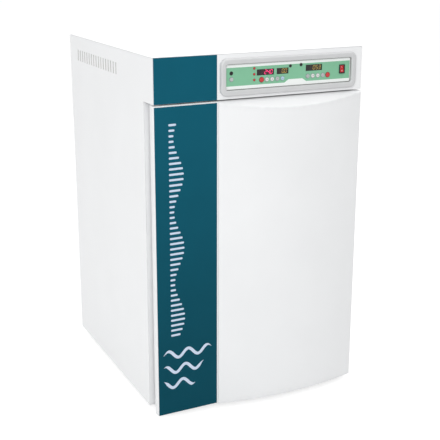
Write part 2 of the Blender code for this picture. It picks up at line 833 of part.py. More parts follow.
def build_shelf():
    """A slotted stainless shelf with its front and rear edges turned down, resting on the ledges."""
    half = CHAMBER_WIDTH / 2 - SHELF_CLEAR
    front = CHAMBER_FRONT + 2 * LEDGE_WIDTH
    rear = CHAMBER_REAR - 2 * LEDGE_WIDTH
    pitch_x = 2 * (half - LEDGE_WIDTH) / SHELF_SLOTS_ACROSS
    pitch_y = (rear - front - LEDGE_WIDTH) / SHELF_SLOTS_DEEP
    slots = [
        centred_rectangle(
            (column - (SHELF_SLOTS_ACROSS - 1) / 2) * pitch_x,
            (front + rear) / 2 + (row - (SHELF_SLOTS_DEEP - 1) / 2) * pitch_y,
            pitch_x * SLOT_SHARE_ACROSS,
            pitch_y * SLOT_SHARE_DEEP,
        )
        for column in range(SHELF_SLOTS_ACROSS)
        for row in range(SHELF_SLOTS_DEEP)
    ]
    bottom = CHAMBER_BOTTOM + SHELF_HEIGHT + GAP
    outline = rectangle(-half, front, half, rear)
    shelf = plate("shelf", [outline, *slots], SHEET, (0, 0, bottom + SHEET / 2), "XY", "stainless")
    reach = half - LEDGE_WIDTH - SHEET
    for end, low_y in (("front", front + GAP), ("rear", rear - SHEET - GAP)):
        edge = box(
            f"shelf_{end}_edge",
            (-reach, low_y, bottom - SHELF_TURN_DOWN),
            (reach, low_y + SHEET, bottom + SHEET / 2),
        )
        join(shelf, edge)


# Controls


def inner_left():
    return BEZEL_LEFT + BEZEL_RAIL


def inner_width():
    return BEZEL_RIGHT - BEZEL_LEFT - 2 * BEZEL_RAIL


def at_share(share):
    """The place across the panel that lies at this share of the bezel's inner width."""
    return inner_left() + share * inner_width()


def button_places():
    """Every push button as name, x, z, radius and finish."""
    places = [("mute_button", at_share(MUTE_SHARE), BEZEL_Z + MUTE_DROP, BUTTON_RADIUS, "grey_plastic")]
    for side, (share, rise, red) in BUTTON_ROWS.items():
        for index in range(BUTTONS_IN_ROW):
            x = at_share(share) + (index - (BUTTONS_IN_ROW - 1) / 2) * BUTTON_PITCH
            radius = RED_BUTTON_RADIUS if index == red else BUTTON_RADIUS
            finish = "red_plastic" if index == red else "grey_plastic"
            places.append((f"{side}_button_{index + 1}", x, BEZEL_Z + rise, radius, finish))
    return places


def display_places():
    """Every display window as name, x, z, width and height."""
    return [
        (name, at_share(share), BEZEL_Z + rise, width * inner_width(), height)
        for name, (share, width, rise, height) in DISPLAYS.items()
    ]


def build_bezel():
    """The raised frame round the controls, with soft inner and outer edges."""
    half = BEZEL_HEIGHT / 2
    outer = rounded_rectangle(BEZEL_LEFT, BEZEL_Z - half, BEZEL_RIGHT, BEZEL_Z + half, BEZEL_RADIUS)
    inner = rounded_rectangle(
        BEZEL_LEFT + BEZEL_RAIL,
        BEZEL_Z - half + BEZEL_RAIL,
        BEZEL_RIGHT - BEZEL_RAIL,
        BEZEL_Z + half - BEZEL_RAIL,
        BEZEL_INNER_RADIUS,
    )
    plate(
        "control_bezel",
        [outer, inner],
        BEZEL_RISE,
        (0, FRONT - GAP - BEZEL_RISE / 2, 0),
        finish="bezel_grey",
        radius=BEZEL_EDGE,
        segments=2,
    )


def build_overlay():
    """The printed plate inside the bezel, with a hole or window for everything that shows through."""
    half = BEZEL_HEIGHT / 2 - BEZEL_RAIL - GAP
    outline = rounded_rectangle(
        inner_left() + GAP,
        BEZEL_Z - half,
        inner_left() + inner_width() - GAP,
        BEZEL_Z + half,
        BEZEL_INNER_RADIUS,
    )
    holes = [circle(x, z, radius + BUTTON_FIT, 12) for _, x, z, radius, _ in button_places()]
    holes += [circle(at_share(LED_SHARE), BEZEL_Z + rise, LED_RADIUS + GAP, 12) for rise in LED_RISES]
    holes += [circle(at_share(share), BEZEL_Z + rise, radius, 12) for share, rise, radius in SOUND_HOLES]
    holes += [
        centred_rectangle(x, z, width - 2 * DISPLAY_LAP, height - 2 * DISPLAY_LAP)
        for _, x, z, width, height in display_places()
    ]
    holes.append(
        centred_rectangle(
            at_share(ROCKER_SHARE),
            BEZEL_Z + ROCKER_RISE,
            ROCKER_FRAME_WIDTH - 2 * ROCKER_RIM + 2 * GAP,
            ROCKER_FRAME_HEIGHT - 2 * ROCKER_RIM + 2 * GAP,
        )
    )
    plate(
        "control_overlay",
        [outline, *holes],
        OVERLAY,
        (0, OVERLAY_FRONT + OVERLAY / 2, 0),
        finish="mint_film",
    )


def build_board():
    """The circuit board on its posts behind the fascia, with the three indicator LEDs soldered on."""
    left = inner_left() - BOARD_MARGIN_ACROSS
    right = at_share(ROCKER_SHARE) - ROCKER_FRAME_WIDTH
    half = BEZEL_HEIGHT / 2 - BEZEL_RAIL + BOARD_MARGIN_UP
    front = FRONT + BOARD_BEHIND
    outline = rectangle(left, BEZEL_Z - half, right, BEZEL_Z + half)
    board = plate("control_board", [outline], BOARD, (0, front + BOARD / 2, 0), finish="board_green")
    for up in (-1, 1):
        for x in (left + POST_FROM_EDGE, right - POST_FROM_EDGE):
            place = BEZEL_Z + up * (half - POST_FROM_EDGE)
            join(
                board,
                cylinder(
                    f"board_post_{len(CUTTERS.objects)}",
                    POST_RADIUS,
                    (x, FRONT + SHEET + GAP, place),
                    (x, front + BOARD / 2, place),
                    "+Y",
                    sides=12,
                ),
            )
    reach = front - OVERLAY_FRONT + LED_PROUD
    dome = [(0, reach), (LED_RADIUS * 0.7, reach - LED_RADIUS * 0.3), (LED_RADIUS, reach - LED_RADIUS)]
    profile = [*dome, (LED_RADIUS, -BOARD / 2), (0, -BOARD / 2)]
    for index, rise in enumerate(LED_RISES):
        place = (at_share(LED_SHARE), front, BEZEL_Z + rise)
        join(board, turned(f"indicator_{index + 1}", profile, place, "-Y", "red_plastic", 12))


def build_displays():
    """Three LED display modules standing on the board, behind their windows."""
    for name, x, z, width, height in display_places():
        box(
            f"display_{name}",
            (x - width / 2, FRONT, z - height / 2),
            (x + width / 2, FRONT + BOARD_BEHIND - GAP, z + height / 2),
            "black_plastic",
        )


def build_buttons():
    """Push buttons with a crowned cap, a collar behind the overlay and a stem to the switch."""
    proud = BUTTON_PROUD
    behind = OVERLAY + GAP
    stem_end = BOARD_BEHIND + GAP + OVERLAY - BUTTON_TRAVEL - STEM_CLEAR
    for name, x, z, radius, finish in button_places():
        profile = [
            (0, proud),
            (radius * 0.75, proud - BUTTON_CROWN),
            (radius, proud - BUTTON_SHOULDER),
            (radius, -behind),
            (radius + COLLAR, -behind),
            (radius + COLLAR, -behind - COLLAR_THICKNESS),
            (BUTTON_STEM_RADIUS, -behind - COLLAR_THICKNESS),
            (BUTTON_STEM_RADIUS, -stem_end),
            (0, -stem_end),
        ]
        turned(name, profile, (x, OVERLAY_FRONT, z), "-Y", finish, 12)


def build_rocker_switch():
    """A snap-in switch: a flanged housing, and a rocker that turns on two pins in its side walls."""
    x = at_share(ROCKER_SHARE)
    z = BEZEL_Z + ROCKER_RISE
    face = OVERLAY_FRONT - GAP
    body_width = ROCKER_FRAME_WIDTH - 2 * ROCKER_RIM
    body_height = ROCKER_FRAME_HEIGHT - 2 * ROCKER_RIM
    well_width = body_width - 2 * ROCKER_WALL
    well_height = body_height - 2 * ROCKER_WALL
    pivot_y = face + ROCKER_PIVOT_DEPTH
    frame = plate(
        "rocker_frame",
        [
            rounded_rectangle(
                x - ROCKER_FRAME_WIDTH / 2,
                z - ROCKER_FRAME_HEIGHT / 2,
                x + ROCKER_FRAME_WIDTH / 2,
                z + ROCKER_FRAME_HEIGHT / 2,
                ROCKER_CORNER,
                2,
            )
        ],
        ROCKER_FLANGE,
        (0, face - ROCKER_FLANGE / 2, 0),
        finish="black_plastic",
    )
    join(
        frame,
        box(
            "rocker_body",
            (x - body_width / 2, face - ROCKER_FLANGE / 2, z - body_height / 2),
            (x + body_width / 2, face + ROCKER_BODY_DEPTH, z + body_height / 2),
        ),
    )
    pin_hole = ROCKER_PIN_RADIUS + GAP
    cut(
        frame,
        box(
            "rocker_well",
            (x - well_width / 2, face - 2 * ROCKER_FLANGE, z - well_height / 2),
            (x + well_width / 2, face + ROCKER_BODY_DEPTH - ROCKER_FLANGE, z + well_height / 2),
        ),
        cylinder(
            "rocker_pin_hole",
            pin_hole,
            (x - body_width / 2 + STEM_CLEAR, pivot_y, z),
            (x + body_width / 2 - STEM_CLEAR, pivot_y, z),
            "+X",
            sides=12,
        ),
    )
    width = well_width - 2 * GAP
    half = well_height / 2 - ROCKER_END_CLEAR
    outline = [
        (-ROCKER_FACE_RISE, -half),
        (-ROCKER_FACE_RISE + half * math.tan(ROCKER_TILT), 0),
        (-ROCKER_FACE_RISE, half),
        (ROCKER_SKIRT, half * 0.8),
        (ROCKER_KEEL, 0),
        (ROCKER_SKIRT, -half * 0.8),
    ]
    cosine = math.cos(ROCKER_TILT)
    sine = math.sin(ROCKER_TILT)
    tilted = [(y * cosine + up * sine, up * cosine - y * sine) for y, up in outline]
    rocker = plate("rocker", [tilted], width, (x, pivot_y, z), "YZ", "red_plastic", ROCKER_EDGE)
    pin_reach = body_width / 2 - ROCKER_WALL * 0.5
    join(
        rocker,
        cylinder(
            "rocker_pin",
            ROCKER_PIN_RADIUS,
            (x - pin_reach, pivot_y, z),
            (x + pin_reach, pivot_y, z),
            "+X",
            sides=12,
        ),
    )
    carry(make_pivot("rocker_axis", (x, pivot_y, z)), rocker)


# Outer door


def bow_depth(x, left, right):
    """How far the bowed panel stands forward: a step at its edges and an arch between them."""
    across = (2 * x - left - right) / (right - left)
    return BOW_STEP + BOW_RISE * (1 - across * across)


def bow_solid(name, inset, back):
    """The bowed panel as a closed solid, its sides drawn in by the inset.

    Each column of the front has its foot, the point where the sloping top meets the arch, and the
    top ledge. The edges are then carried back to a flat rear.
    """
    left = STRIP_RIGHT + BOW_FROM_STRIP
    right = RIGHT
    low = DOOR_BOTTOM + inset
    shape = bmesh.new()
    columns = []
    slant = math.hypot(1.0, BOW_TOP_SLOPE)
    for index in range(BOW_SPANS + 1):
        outer_x = left + (right - left) * index / BOW_SPANS
        x = min(max(outer_x, left + inset), right - inset)
        depth = bow_depth(outer_x, left, right) - inset
        ledge = max(BOW_LEDGE - inset, -back + 2 * GAP)
        crest = DOOR_TOP - inset * slant - depth * BOW_TOP_SLOPE
        top = DOOR_TOP - inset * slant - ledge * BOW_TOP_SLOPE
        columns.append(
            [
                shape.verts.new((x, -depth, low)),
                shape.verts.new((x, -depth, crest)),
                shape.verts.new((x, -ledge, top)),
            ]
        )
    for one, other in zip(columns, columns[1:]):
        for level in range(2):
            shape.faces.new((one[level], other[level], other[level + 1], one[level + 1]))
    rim = [edge for edge in shape.edges if edge.is_boundary]
    drawn = bmesh.ops.extrude_edge_only(shape, edges=rim)["geom"]
    for item in drawn:
        if isinstance(item, bmesh.types.BMVert):
            item.co.y = back
    bmesh.ops.contextual_create(shape, geom=[edge for edge in shape.edges if edge.is_boundary])
    bmesh.ops.recalc_face_normals(shape, faces=shape.faces)
    mesh = bpy.data.meshes.new(name)
    shape.to_mesh(mesh)
    shape.free()
    return add_piece(name, mesh, "powder_coat", (0, FRONT, 0))


def build_outer_door():
    """Door of flat steel skin, bowed front panel, insulated core and magnetic gasket."""
    axis = make_pivot("outer_door_axis", (HINGE_X, HINGE_Y, DOOR_BOTTOM))
    skin = tray(
        "door_skin",
        (LEFT, FRONT, DOOR_BOTTOM),
        (RIGHT, FRONT + DOOR_LIP, DOOR_TOP),
        (0, 1, 0),
        DOOR_SKIN,
        "powder_coat",
        DOOR_EDGE_RADIUS,
    )
    panel = bow_solid("door_front_panel", 0.0, -GAP)
    round_edges(panel, BOW_EDGE, 2, 50)
    cut(panel, bow_solid("door_front_panel_hollow", BOW_WALL, GAP))
    strip_low = DOOR_BOTTOM + STRIP_END_MARGIN
    strip_high = DOOR_TOP - STRIP_END_MARGIN
    strip = plate(
        "door_teal_strip",
        [rectangle(LEFT + STRIP_MARGIN, strip_low, STRIP_RIGHT, strip_high)],
        STRIP_THICKNESS,
        (0, FRONT - GAP - STRIP_THICKNESS / 2, 0),
        finish="teal_film",
    )
    core = build_door_core()
    outer_x = RECESS_X + SEAL_MARGIN + SEAL_WIDTH
    low = RECESS_BOTTOM - SEAL_MARGIN - SEAL_WIDTH
    high = RECESS_TOP + SEAL_MARGIN + SEAL_WIDTH
    gasket_depth = HEAD_DEPTH - DOOR_REAR - 2 * GAP
    gasket = plate(
        "door_gasket",
        [
            rectangle(-outer_x, low, outer_x, high),
            rectangle(-outer_x + SEAL_WIDTH, low + SEAL_WIDTH, outer_x - SEAL_WIDTH, high - SEAL_WIDTH),
        ],
        gasket_depth,
        (0, FRONT + DOOR_REAR + GAP + gasket_depth / 2, 0),
        finish="rubber",
        radius=SEAL_EDGE,
    )
    carry(axis, skin, panel, strip, core, gasket)


def build_door_core():
    """The insulated body of the door: it fills the skin, and steps in on the left as a finger grip."""
    margin = DOOR_SKIN + GAP
    left = LEFT + margin
    right = RIGHT - margin
    front = FRONT + margin
    step = FRONT + DOOR_LIP - DOOR_SKIN
    rear = FRONT + DOOR_REAR
    grip = LEFT + GRIP_INSET
    low = DOOR_BOTTOM + margin
    high = DOOR_TOP - margin
    outline = [(left, front), (right, front), (right, rear), (grip, rear), (grip, step), (left, step)]
    core = plate("door_core", [outline], high - low, (0, 0, (low + high) / 2), "XY", "grey_plastic")
    round_edges(core, CORE_EDGE, 1)
    bore = HINGE_PIN_RADIUS + SHAFT_FIT
    cut(
        core,
        cylinder(
            "lower_hinge_bore",
            bore,
            (HINGE_X, HINGE_Y, DOOR_BOTTOM - DOOR_SKIN),
            (HINGE_X, HINGE_Y, DOOR_BOTTOM + HINGE_PIN_REACH + GAP),
        ),
        cylinder(
            "upper_hinge_bore",
            bore,
            (HINGE_X, HINGE_Y, DOOR_TOP - HINGE_PIN_REACH - GAP),
            (HINGE_X, HINGE_Y, DOOR_TOP + DOOR_SKIN),
        ),
    )
    return core


def build_lower_hinge():
    """A joggled bracket under the door's lower corner, with the hinge pin riveted in it."""
    top = DOOR_BOTTOM - BRACKET_CLEAR
    under = BASE_Z - GAP
    bend = FRAME_FRONT + GAP
    low = top - BRACKET_THICKNESS
    outline = [
        (HINGE_Y - BRACKET_NOSE, low),
        (bend + BRACKET_THICKNESS, low),
        (bend + BRACKET_THICKNESS, under - BRACKET_THICKNESS),
        (bend + BRACKET_TAIL, under - BRACKET_THICKNESS),
        (bend + BRACKET_TAIL, under),
        (bend, under),
        (bend, top),
        (HINGE_Y - BRACKET_NOSE, top),
    ]
    bracket = plate("lower_hinge_bracket", [outline], BRACKET_WIDTH, (HINGE_X, 0, 0), "YZ", "powder_coat")
    join(
        bracket,
        cylinder(
            "lower_hinge_pin",
            HINGE_PIN_RADIUS,
            (HINGE_X, HINGE_Y, low + BRACKET_THICKNESS / 2),
            (HINGE_X, HINGE_Y, DOOR_BOTTOM + HINGE_PIN_REACH),
        ),
    )


# Glass door


def build_glass_door():
    """Inner door: a pane held in a hinge stile whose pins turn in the front frame."""
    axis = make_pivot("glass_door_axis", (GLASS_PIVOT_X, GLASS_PIVOT_Y, GLASS_BOTTOM))
    left = -RECESS_X + GLASS_MARGIN
    edge = GLASS_PIVOT_X - STILE_WIDTH / 4
    pane = box(
        "glass_pane",
        (left, GLASS_FRONT, GLASS_BOTTOM),
        (edge, GLASS_FRONT + GLASS, GLASS_TOP),
        "glass",
        GLASS_EDGE,
        1,
    )
    right = GLASS_PIVOT_X + GLASS_PIVOT_FROM_RECESS / 2
    mouth = right - STILE_WIDTH
    near = GLASS_PIVOT_Y - STILE_DEPTH / 2
    far = GLASS_PIVOT_Y + STILE_DEPTH / 2
    slot_near = GLASS_FRONT - GAP
    slot_far = GLASS_FRONT + GLASS + GAP
    outline = [
        (mouth, near),
        (right, near),
        (right, far),
        (mouth, far),
        (mouth, slot_far),
        (edge + GAP, slot_far),
        (edge + GAP, slot_near),
        (mouth, slot_near),
    ]
    middle = (GLASS_BOTTOM + GLASS_TOP) / 2
    stile = plate(
        "glass_hinge_stile", [outline], GLASS_TOP - GLASS_BOTTOM, (0, 0, middle), "XY", "stainless"
    )
    for end, start, stop in (
        ("lower", RECESS_BOTTOM - GLASS_PIN_REACH, GLASS_BOTTOM + GLASS_PIN_REACH),
        ("upper", GLASS_TOP - GLASS_PIN_REACH, RECESS_TOP + GLASS_PIN_REACH),
    ):
        pin = cylinder(
            f"{end}_glass_pin",
            GLASS_PIN_RADIUS,
            (GLASS_PIVOT_X, GLASS_PIVOT_Y, start),
            (GLASS_PIVOT_X, GLASS_PIVOT_Y, stop),
            sides=16,
        )
        join(stile, pin)
    seal_near = GLASS_FRONT + GLASS + GAP
    seal_far = FRAME_FRONT + RECESS_DEPTH - GAP
    inner = GLASS_SEAL_MARGIN
    outer = GLASS_SEAL_MARGIN + GLASS_SEAL_WIDTH
    seal = plate(
        "glass_seal",
        [
            rectangle(
                -OPENING_X - outer,
                OPENING_BOTTOM - outer,
                OPENING_X + outer,
                OPENING_TOP + outer,
            ),
            rectangle(-OPENING_X - inner, OPENING_BOTTOM - inner, OPENING_X + inner, OPENING_TOP + inner),
        ],
        seal_far - seal_near,
        (0, (seal_near + seal_far) / 2, 0),
        finish="silicone",
    )
    knob = turned(
        "glass_knob",
        [
            (0, KNOB_LENGTH),
            (KNOB_RADIUS * 0.85, KNOB_LENGTH),
            (KNOB_RADIUS, KNOB_LENGTH * 0.85),
            (KNOB_RADIUS, KNOB_LENGTH * 0.55),
            (KNOB_RADIUS * 0.5, KNOB_LENGTH * 0.4),
            (KNOB_RADIUS * 0.6, 0),
            (0, 0),
        ],
        (left + 2 * KNOB_RADIUS, GLASS_FRONT - GAP, (OPENING_BOTTOM + OPENING_TOP) / 2),
        "-Y",
        "black_plastic",
        20,
    )
    carry(axis, pane, stile, seal, knob)


# Shaker


def at_floor(x, y, rise):
    """A point over the chamber floor, from the middle of the chamber."""
    return Vector((x, CHAMBER_Y + y, CHAMBER_BOTTOM + rise))


IDLERS = {
    "front_left": (-IDLER_X, -IDLER_Y),
    "front_right": (IDLER_X, -IDLER_Y),
    "rear_right": (IDLER_X, IDLER_Y),
}


def build_shaker_base():
    """The base plate on the chamber floor, with a bearing housing for each shaft."""
    middle = BASE_PLATE / 2
    outline = rounded_rectangle(
        -BASE_WIDTH / 2, -BASE_DEPTH / 2, BASE_WIDTH / 2, BASE_DEPTH / 2, BASE_CORNER, 3
    )
    base = plate("shaker_base", [outline], BASE_PLATE, at_floor(0, 0, middle + GAP), "XY", "aluminium")
    housings = {"main": (0, 0, MAIN_BEARING_RADIUS, MAIN_SHAFT_RADIUS)}
    for name, (x, y) in IDLERS.items():
        housings[name] = (x, y, IDLER_BEARING_RADIUS, IDLER_SHAFT_RADIUS)
    for name, (x, y, radius, _) in housings.items():
        housing = cylinder(f"{name}_housing", radius, at_floor(x, y, middle), at_floor(x, y, BEARING_TOP))
        join(base, housing)
    for name, (x, y, _, radius) in housings.items():
        cut(
            base,
            cylinder(
                f"{name}_bore",
                radius + SHAFT_FIT,
                at_floor(x, y, BASE_PLATE + GAP),
                at_floor(x, y, BEARING_TOP + BASE_PLATE),
            ),
        )


def pulley_profile(radius, shaft_radius, shaft_bottom, hub_top):
    """Profile of a flanged flat-belt pulley on its shaft, from the top of the hub down."""
    top = PULLEY_BOTTOM + PULLEY_HEIGHT
    groove = radius - PULLEY_FLANGE
    return [
        (0, hub_top),
        (shaft_radius, hub_top),
        (shaft_radius, top),
        (radius, top),
        (radius, top - PULLEY_RIM),
        (groove, top - PULLEY_RIM),
        (groove, PULLEY_BOTTOM + PULLEY_RIM),
        (radius, PULLEY_BOTTOM + PULLEY_RIM),
        (radius, PULLEY_BOTTOM),
        (shaft_radius, PULLEY_BOTTOM),
        (shaft_radius, shaft_bottom),
        (0, shaft_bottom),
    ]


def build_cranks():
    """The driven main crank with its counterweight, and the idler cranks that keep the platform square."""
    pin_top = PLATFORM_BOTTOM - CRANK_PIN_CLEAR
    web_middle = WEB_BOTTOM + WEB_HEIGHT / 2
    axis = make_pivot("main_crank_axis", at_floor(0, 0, 0))
    profile = pulley_profile(PULLEY_RADIUS, MAIN_SHAFT_RADIUS, BASE_PLATE + 2 * GAP, web_middle)
    crank = turned("main_crank", profile, at_floor(0, 0, 0), sides=28)
    hub = MAIN_BEARING_RADIUS * 0.8
    web = [
        *arc(0, 0, COUNTERWEIGHT_RADIUS, 110, 250, 10),
        *arc(0, 0, hub, 270, 300, 2),
        *arc(ORBIT, 0, CRANK_PIN_RADIUS + WEB_MARGIN, -60, 60, 4),
        *arc(0, 0, hub, 60, 90, 2),
    ]
    pin = cylinder(
        "main_crank_pin", CRANK_PIN_RADIUS, at_floor(ORBIT, 0, web_middle), at_floor(ORBIT, 0, pin_top)
    )
    join(crank, plate("counterweight", [web], WEB_HEIGHT, at_floor(0, 0, web_middle), "XY", "steel"), pin)
    carry(axis, crank)
    for name, (x, y) in IDLERS.items():
        axis = make_pivot(f"{name}_idler_axis", at_floor(x, y, 0))
        idler = cylinder(
            f"idler_crank_{name}",
            IDLER_SHAFT_RADIUS,
            at_floor(x, y, BASE_PLATE + 2 * GAP),
            at_floor(x, y, web_middle),
        )
        radius = CRANK_PIN_RADIUS + WEB_MARGIN
        web = [*arc(0, 0, radius, 90, 270, 8), *arc(ORBIT, 0, radius, -90, 90, 8)]
        join(
            idler,
            plate(f"{name}_web", [web], WEB_HEIGHT, at_floor(x, y, web_middle), "XY", "steel"),
            cylinder(
                f"{name}_pin",
                CRANK_PIN_RADIUS,
                at_floor(x + ORBIT, y, web_middle),
                at_floor(x + ORBIT, y, pin_top),
            ),
        )
        carry(axis, idler)


def build_platform():
    """The platform tray, with a blind bearing boss under it for each crank pin and bolt holes for clamps."""
    middle = at_floor(ORBIT, 0, 0)
    half = Vector((PLATFORM_WIDTH / 2, PLATFORM_DEPTH / 2, 0))
    low = middle - half + Vector((0, 0, PLATFORM_BOTTOM))
    high = middle + half + Vector((0, 0, PLATFORM_BOTTOM + PLATFORM_RIM))
    platform = tray("platform", low, high, (0, 0, 1), PLATFORM_WALL, "aluminium", PLATFORM_EDGE)
    places = {"main": (0, 0), **IDLERS}
    for name, (x, y) in places.items():
        boss = cylinder(
            f"{name}_boss",
            PLATFORM_BOSS_RADIUS,
            at_floor(x + ORBIT, y, PLATFORM_BOSS_BOTTOM),
            at_floor(x + ORBIT, y, PLATFORM_BOTTOM + PLATFORM_WALL / 2),
        )
        join(platform, boss)
    for name, (x, y) in places.items():
        cut(
            platform,
            cylinder(
                f"{name}_boss_bore",
                CRANK_PIN_RADIUS + SHAFT_FIT,
                at_floor(x + ORBIT, y, PLATFORM_BOSS_BOTTOM - PLATFORM_WALL),
                at_floor(x + ORBIT, y, PLATFORM_BOTTOM - BOSS_CAP),
            ),
        )
    for column in (-2, -1, 1, 2):
        for row in (-1, 1):
            place = (ORBIT + column * PLATFORM_WIDTH / 6, row * PLATFORM_DEPTH / 6)
            cut(
                platform,
                cylinder(
                    f"bolt_hole_{column + 2}_{row + 1}",
                    BOLT_RADIUS,
                    at_floor(*place, PLATFORM_BOTTOM - PLATFORM_WALL),
                    at_floor(*place, PLATFORM_BOTTOM + 3 * PLATFORM_WALL),
                    sides=10,
                ),
            )
    carry(make_pivot("platform_axis", middle), platform)


def build_drive():
    """The flat motor on the base plate, its pulley, and the belt to the main crank."""
    seat = BASE_PLATE + 2 * GAP
    motor = cylinder(
        "shaker_motor",
        MOTOR_RADIUS,
        at_floor(MOTOR_X, MOTOR_Y, seat),
        at_floor(MOTOR_X, MOTOR_Y, BEARING_TOP),
        finish="black_plastic",
        sides=32,
    )
    round_edges(motor, MOTOR_EDGE, 1)
    cut(
        motor,
        cylinder(
            "motor_bore",
            MOTOR_SHAFT_RADIUS + SHAFT_FIT,
            at_floor(MOTOR_X, MOTOR_Y, BEARING_TOP - MOTOR_SOCKET),
            at_floor(MOTOR_X, MOTOR_Y, BEARING_TOP + MOTOR_SOCKET),
            sides=16,
        ),
    )
    axis = make_pivot("motor_axis", at_floor(MOTOR_X, MOTOR_Y, 0))
    hub_top = PULLEY_BOTTOM + PULLEY_HEIGHT + HUB_RISE
    profile = pulley_profile(
        MOTOR_PULLEY_RADIUS, MOTOR_SHAFT_RADIUS, BEARING_TOP - MOTOR_SOCKET + GAP, hub_top
    )
    pulley = turned("motor_pulley", profile, at_floor(MOTOR_X, MOTOR_Y, 0), finish="aluminium", sides=16)
    carry(axis, pulley)
    height = PULLEY_HEIGHT - 2 * PULLEY_RIM - 2 * GAP
    middle = at_floor(0, 0, PULLEY_BOTTOM + PULLEY_HEIGHT / 2)
    plate("drive_belt", [belt_loop(BELT_FIT + BELT), belt_loop(BELT_FIT)], height, middle, "XY", "rubber")


def belt_loop(outset):
    """The closed line round both pulleys, this far outside their grooves."""
    distance = math.hypot(MOTOR_X, MOTOR_Y)
    toward = math.degrees(math.atan2(MOTOR_Y, MOTOR_X))
    large = PULLEY_RADIUS - PULLEY_FLANGE + outset
    small = MOTOR_PULLEY_RADIUS - PULLEY_FLANGE + outset
    lean = math.degrees(math.acos((large - small) / distance))
    round_large = arc(0, 0, large, toward + lean, toward + 360 - lean, 20)
    round_small = arc(MOTOR_X, MOTOR_Y, small, toward - lean, toward + lean, 10)
    return round_large + round_small


# Air circulation


def under_ceiling(x, y, drop):
    return Vector((x, CHAMBER_Y + y, CHAMBER_TOP - drop))


def blade_outline(turn):
    """One backward-curved blade: a strip that follows a spiral from the eye to the rim."""
    steps = 4
    lead = []
    trail = []
    for step in range(steps + 1):
        share = step / steps
        radius = FAN_RADIUS * (0.55 + 0.43 * share)
        angle = turn - math.radians(38) * share
        half = FAN_BLADE / 2 / radius
        lead.append((radius * math.cos(angle + half), radius * math.sin(angle + half)))
        trail.append((radius * math.cos(angle - half), radius * math.sin(angle - half)))
    return lead + trail[::-1]


def build_fan():
    """The motor in the head, and the blade wheel on its shaft under the chamber ceiling."""
    seat = HEAD_BOTTOM - SHEET + GAP
    motor = cylinder(
        "fan_motor",
        FAN_MOTOR_RADIUS,
        (0, CHAMBER_Y, seat),
        (0, CHAMBER_Y, seat + FAN_MOTOR_HEIGHT),
        finish="black_plastic",
        sides=28,
    )
    round_edges(motor, FAN_MOTOR_EDGE, 2)
    cut(
        motor,
        cylinder(
            "fan_motor_bore",
            FAN_SHAFT_RADIUS + SHAFT_FIT,
            (0, CHAMBER_Y, seat - FAN_SOCKET),
            (0, CHAMBER_Y, seat + FAN_SOCKET),
            sides=16,
        ),
    )
    axis = make_pivot("fan_axis", under_ceiling(0, 0, 0))
    shaft_top = seat + FAN_SOCKET - GAP - CHAMBER_TOP
    profile = [
        (0, shaft_top),
        (FAN_SHAFT_RADIUS, shaft_top),
        (FAN_SHAFT_RADIUS, -FAN_DROP + 2 * FAN_DISC),
        (FAN_HUB_RADIUS, -FAN_DROP + 2 * FAN_DISC),
        (FAN_HUB_RADIUS, -FAN_DROP),
        (FAN_RADIUS, -FAN_DROP),
        (FAN_RADIUS, -FAN_DROP - FAN_DISC),
        (FAN_HUB_RADIUS, -FAN_DROP - FAN_DISC),
        (FAN_HUB_RADIUS * 0.7, -FAN_DROP - FAN_BLADE_HEIGHT * 0.8),
        (0, -FAN_DROP - FAN_BLADE_HEIGHT * 0.8),
    ]
    wheel = turned("fan_wheel", profile, under_ceiling(0, 0, 0), finish="aluminium", sides=36)
    outlines = [blade_outline(math.tau * index / FAN_BLADES) for index in range(FAN_BLADES)]
    height = FAN_BLADE_HEIGHT + FAN_DISC / 2
    middle = under_ceiling(0, 0, FAN_DROP + FAN_DISC / 2 + height / 2)
    blades = plate("fan_blades", outlines, height, middle, "XY", "aluminium")
    join(wheel, blades)
    carry(axis, wheel)


def build_duct():
    """The cover under the fan: an inlet below the wheel's eye and outlet slots in both sides."""
    half = Vector((DUCT_WIDTH / 2, DUCT_DEPTH / 2, 0))
    low = under_ceiling(0, 0, DUCT_DROP) - half
    high = under_ceiling(0, 0, GAP) + half
    duct = tray("fan_duct", low, high, (0, 0, 1), SHEET, "stainless", DUCT_EDGE)
    inlet = cylinder(
        "duct_inlet",
        DUCT_INLET_RADIUS,
        under_ceiling(0, 0, DUCT_DROP + 2 * SHEET),
        under_ceiling(0, 0, DUCT_DROP - 2 * SHEET),
        sides=32,
    )
    cut(duct, inlet)
    pitch = DUCT_DEPTH / DUCT_OUTLETS
    for index in range(DUCT_OUTLETS):
        y = (index - (DUCT_OUTLETS - 1) / 2) * pitch
        middle = under_ceiling(0, y, DUCT_DROP / 2)
        reach = Vector((DUCT_WIDTH, pitch * 0.35, DUCT_DROP / 6))
        cut(duct, box(f"duct_outlet_{index + 1}", middle - reach, middle + reach))


def build_probe():
    """The gas and temperature sensor, a capped tube on a flange under the ceiling."""
    turned(
        "sensor_probe",
        [
            (0, -GAP),
            (2 * PROBE_RADIUS, -GAP),
            (2 * PROBE_RADIUS, -PROBE_FLANGE),
            (PROBE_RADIUS, -PROBE_FLANGE),
            (PROBE_RADIUS, -PROBE_LENGTH + PROBE_RADIUS),
            (PROBE_RADIUS * 0.6, -PROBE_LENGTH),
            (0, -PROBE_LENGTH),
        ],
        under_ceiling(PROBE_X, 0, 0),
        finish="stainless",
        sides=16,
    )


# Rear fittings


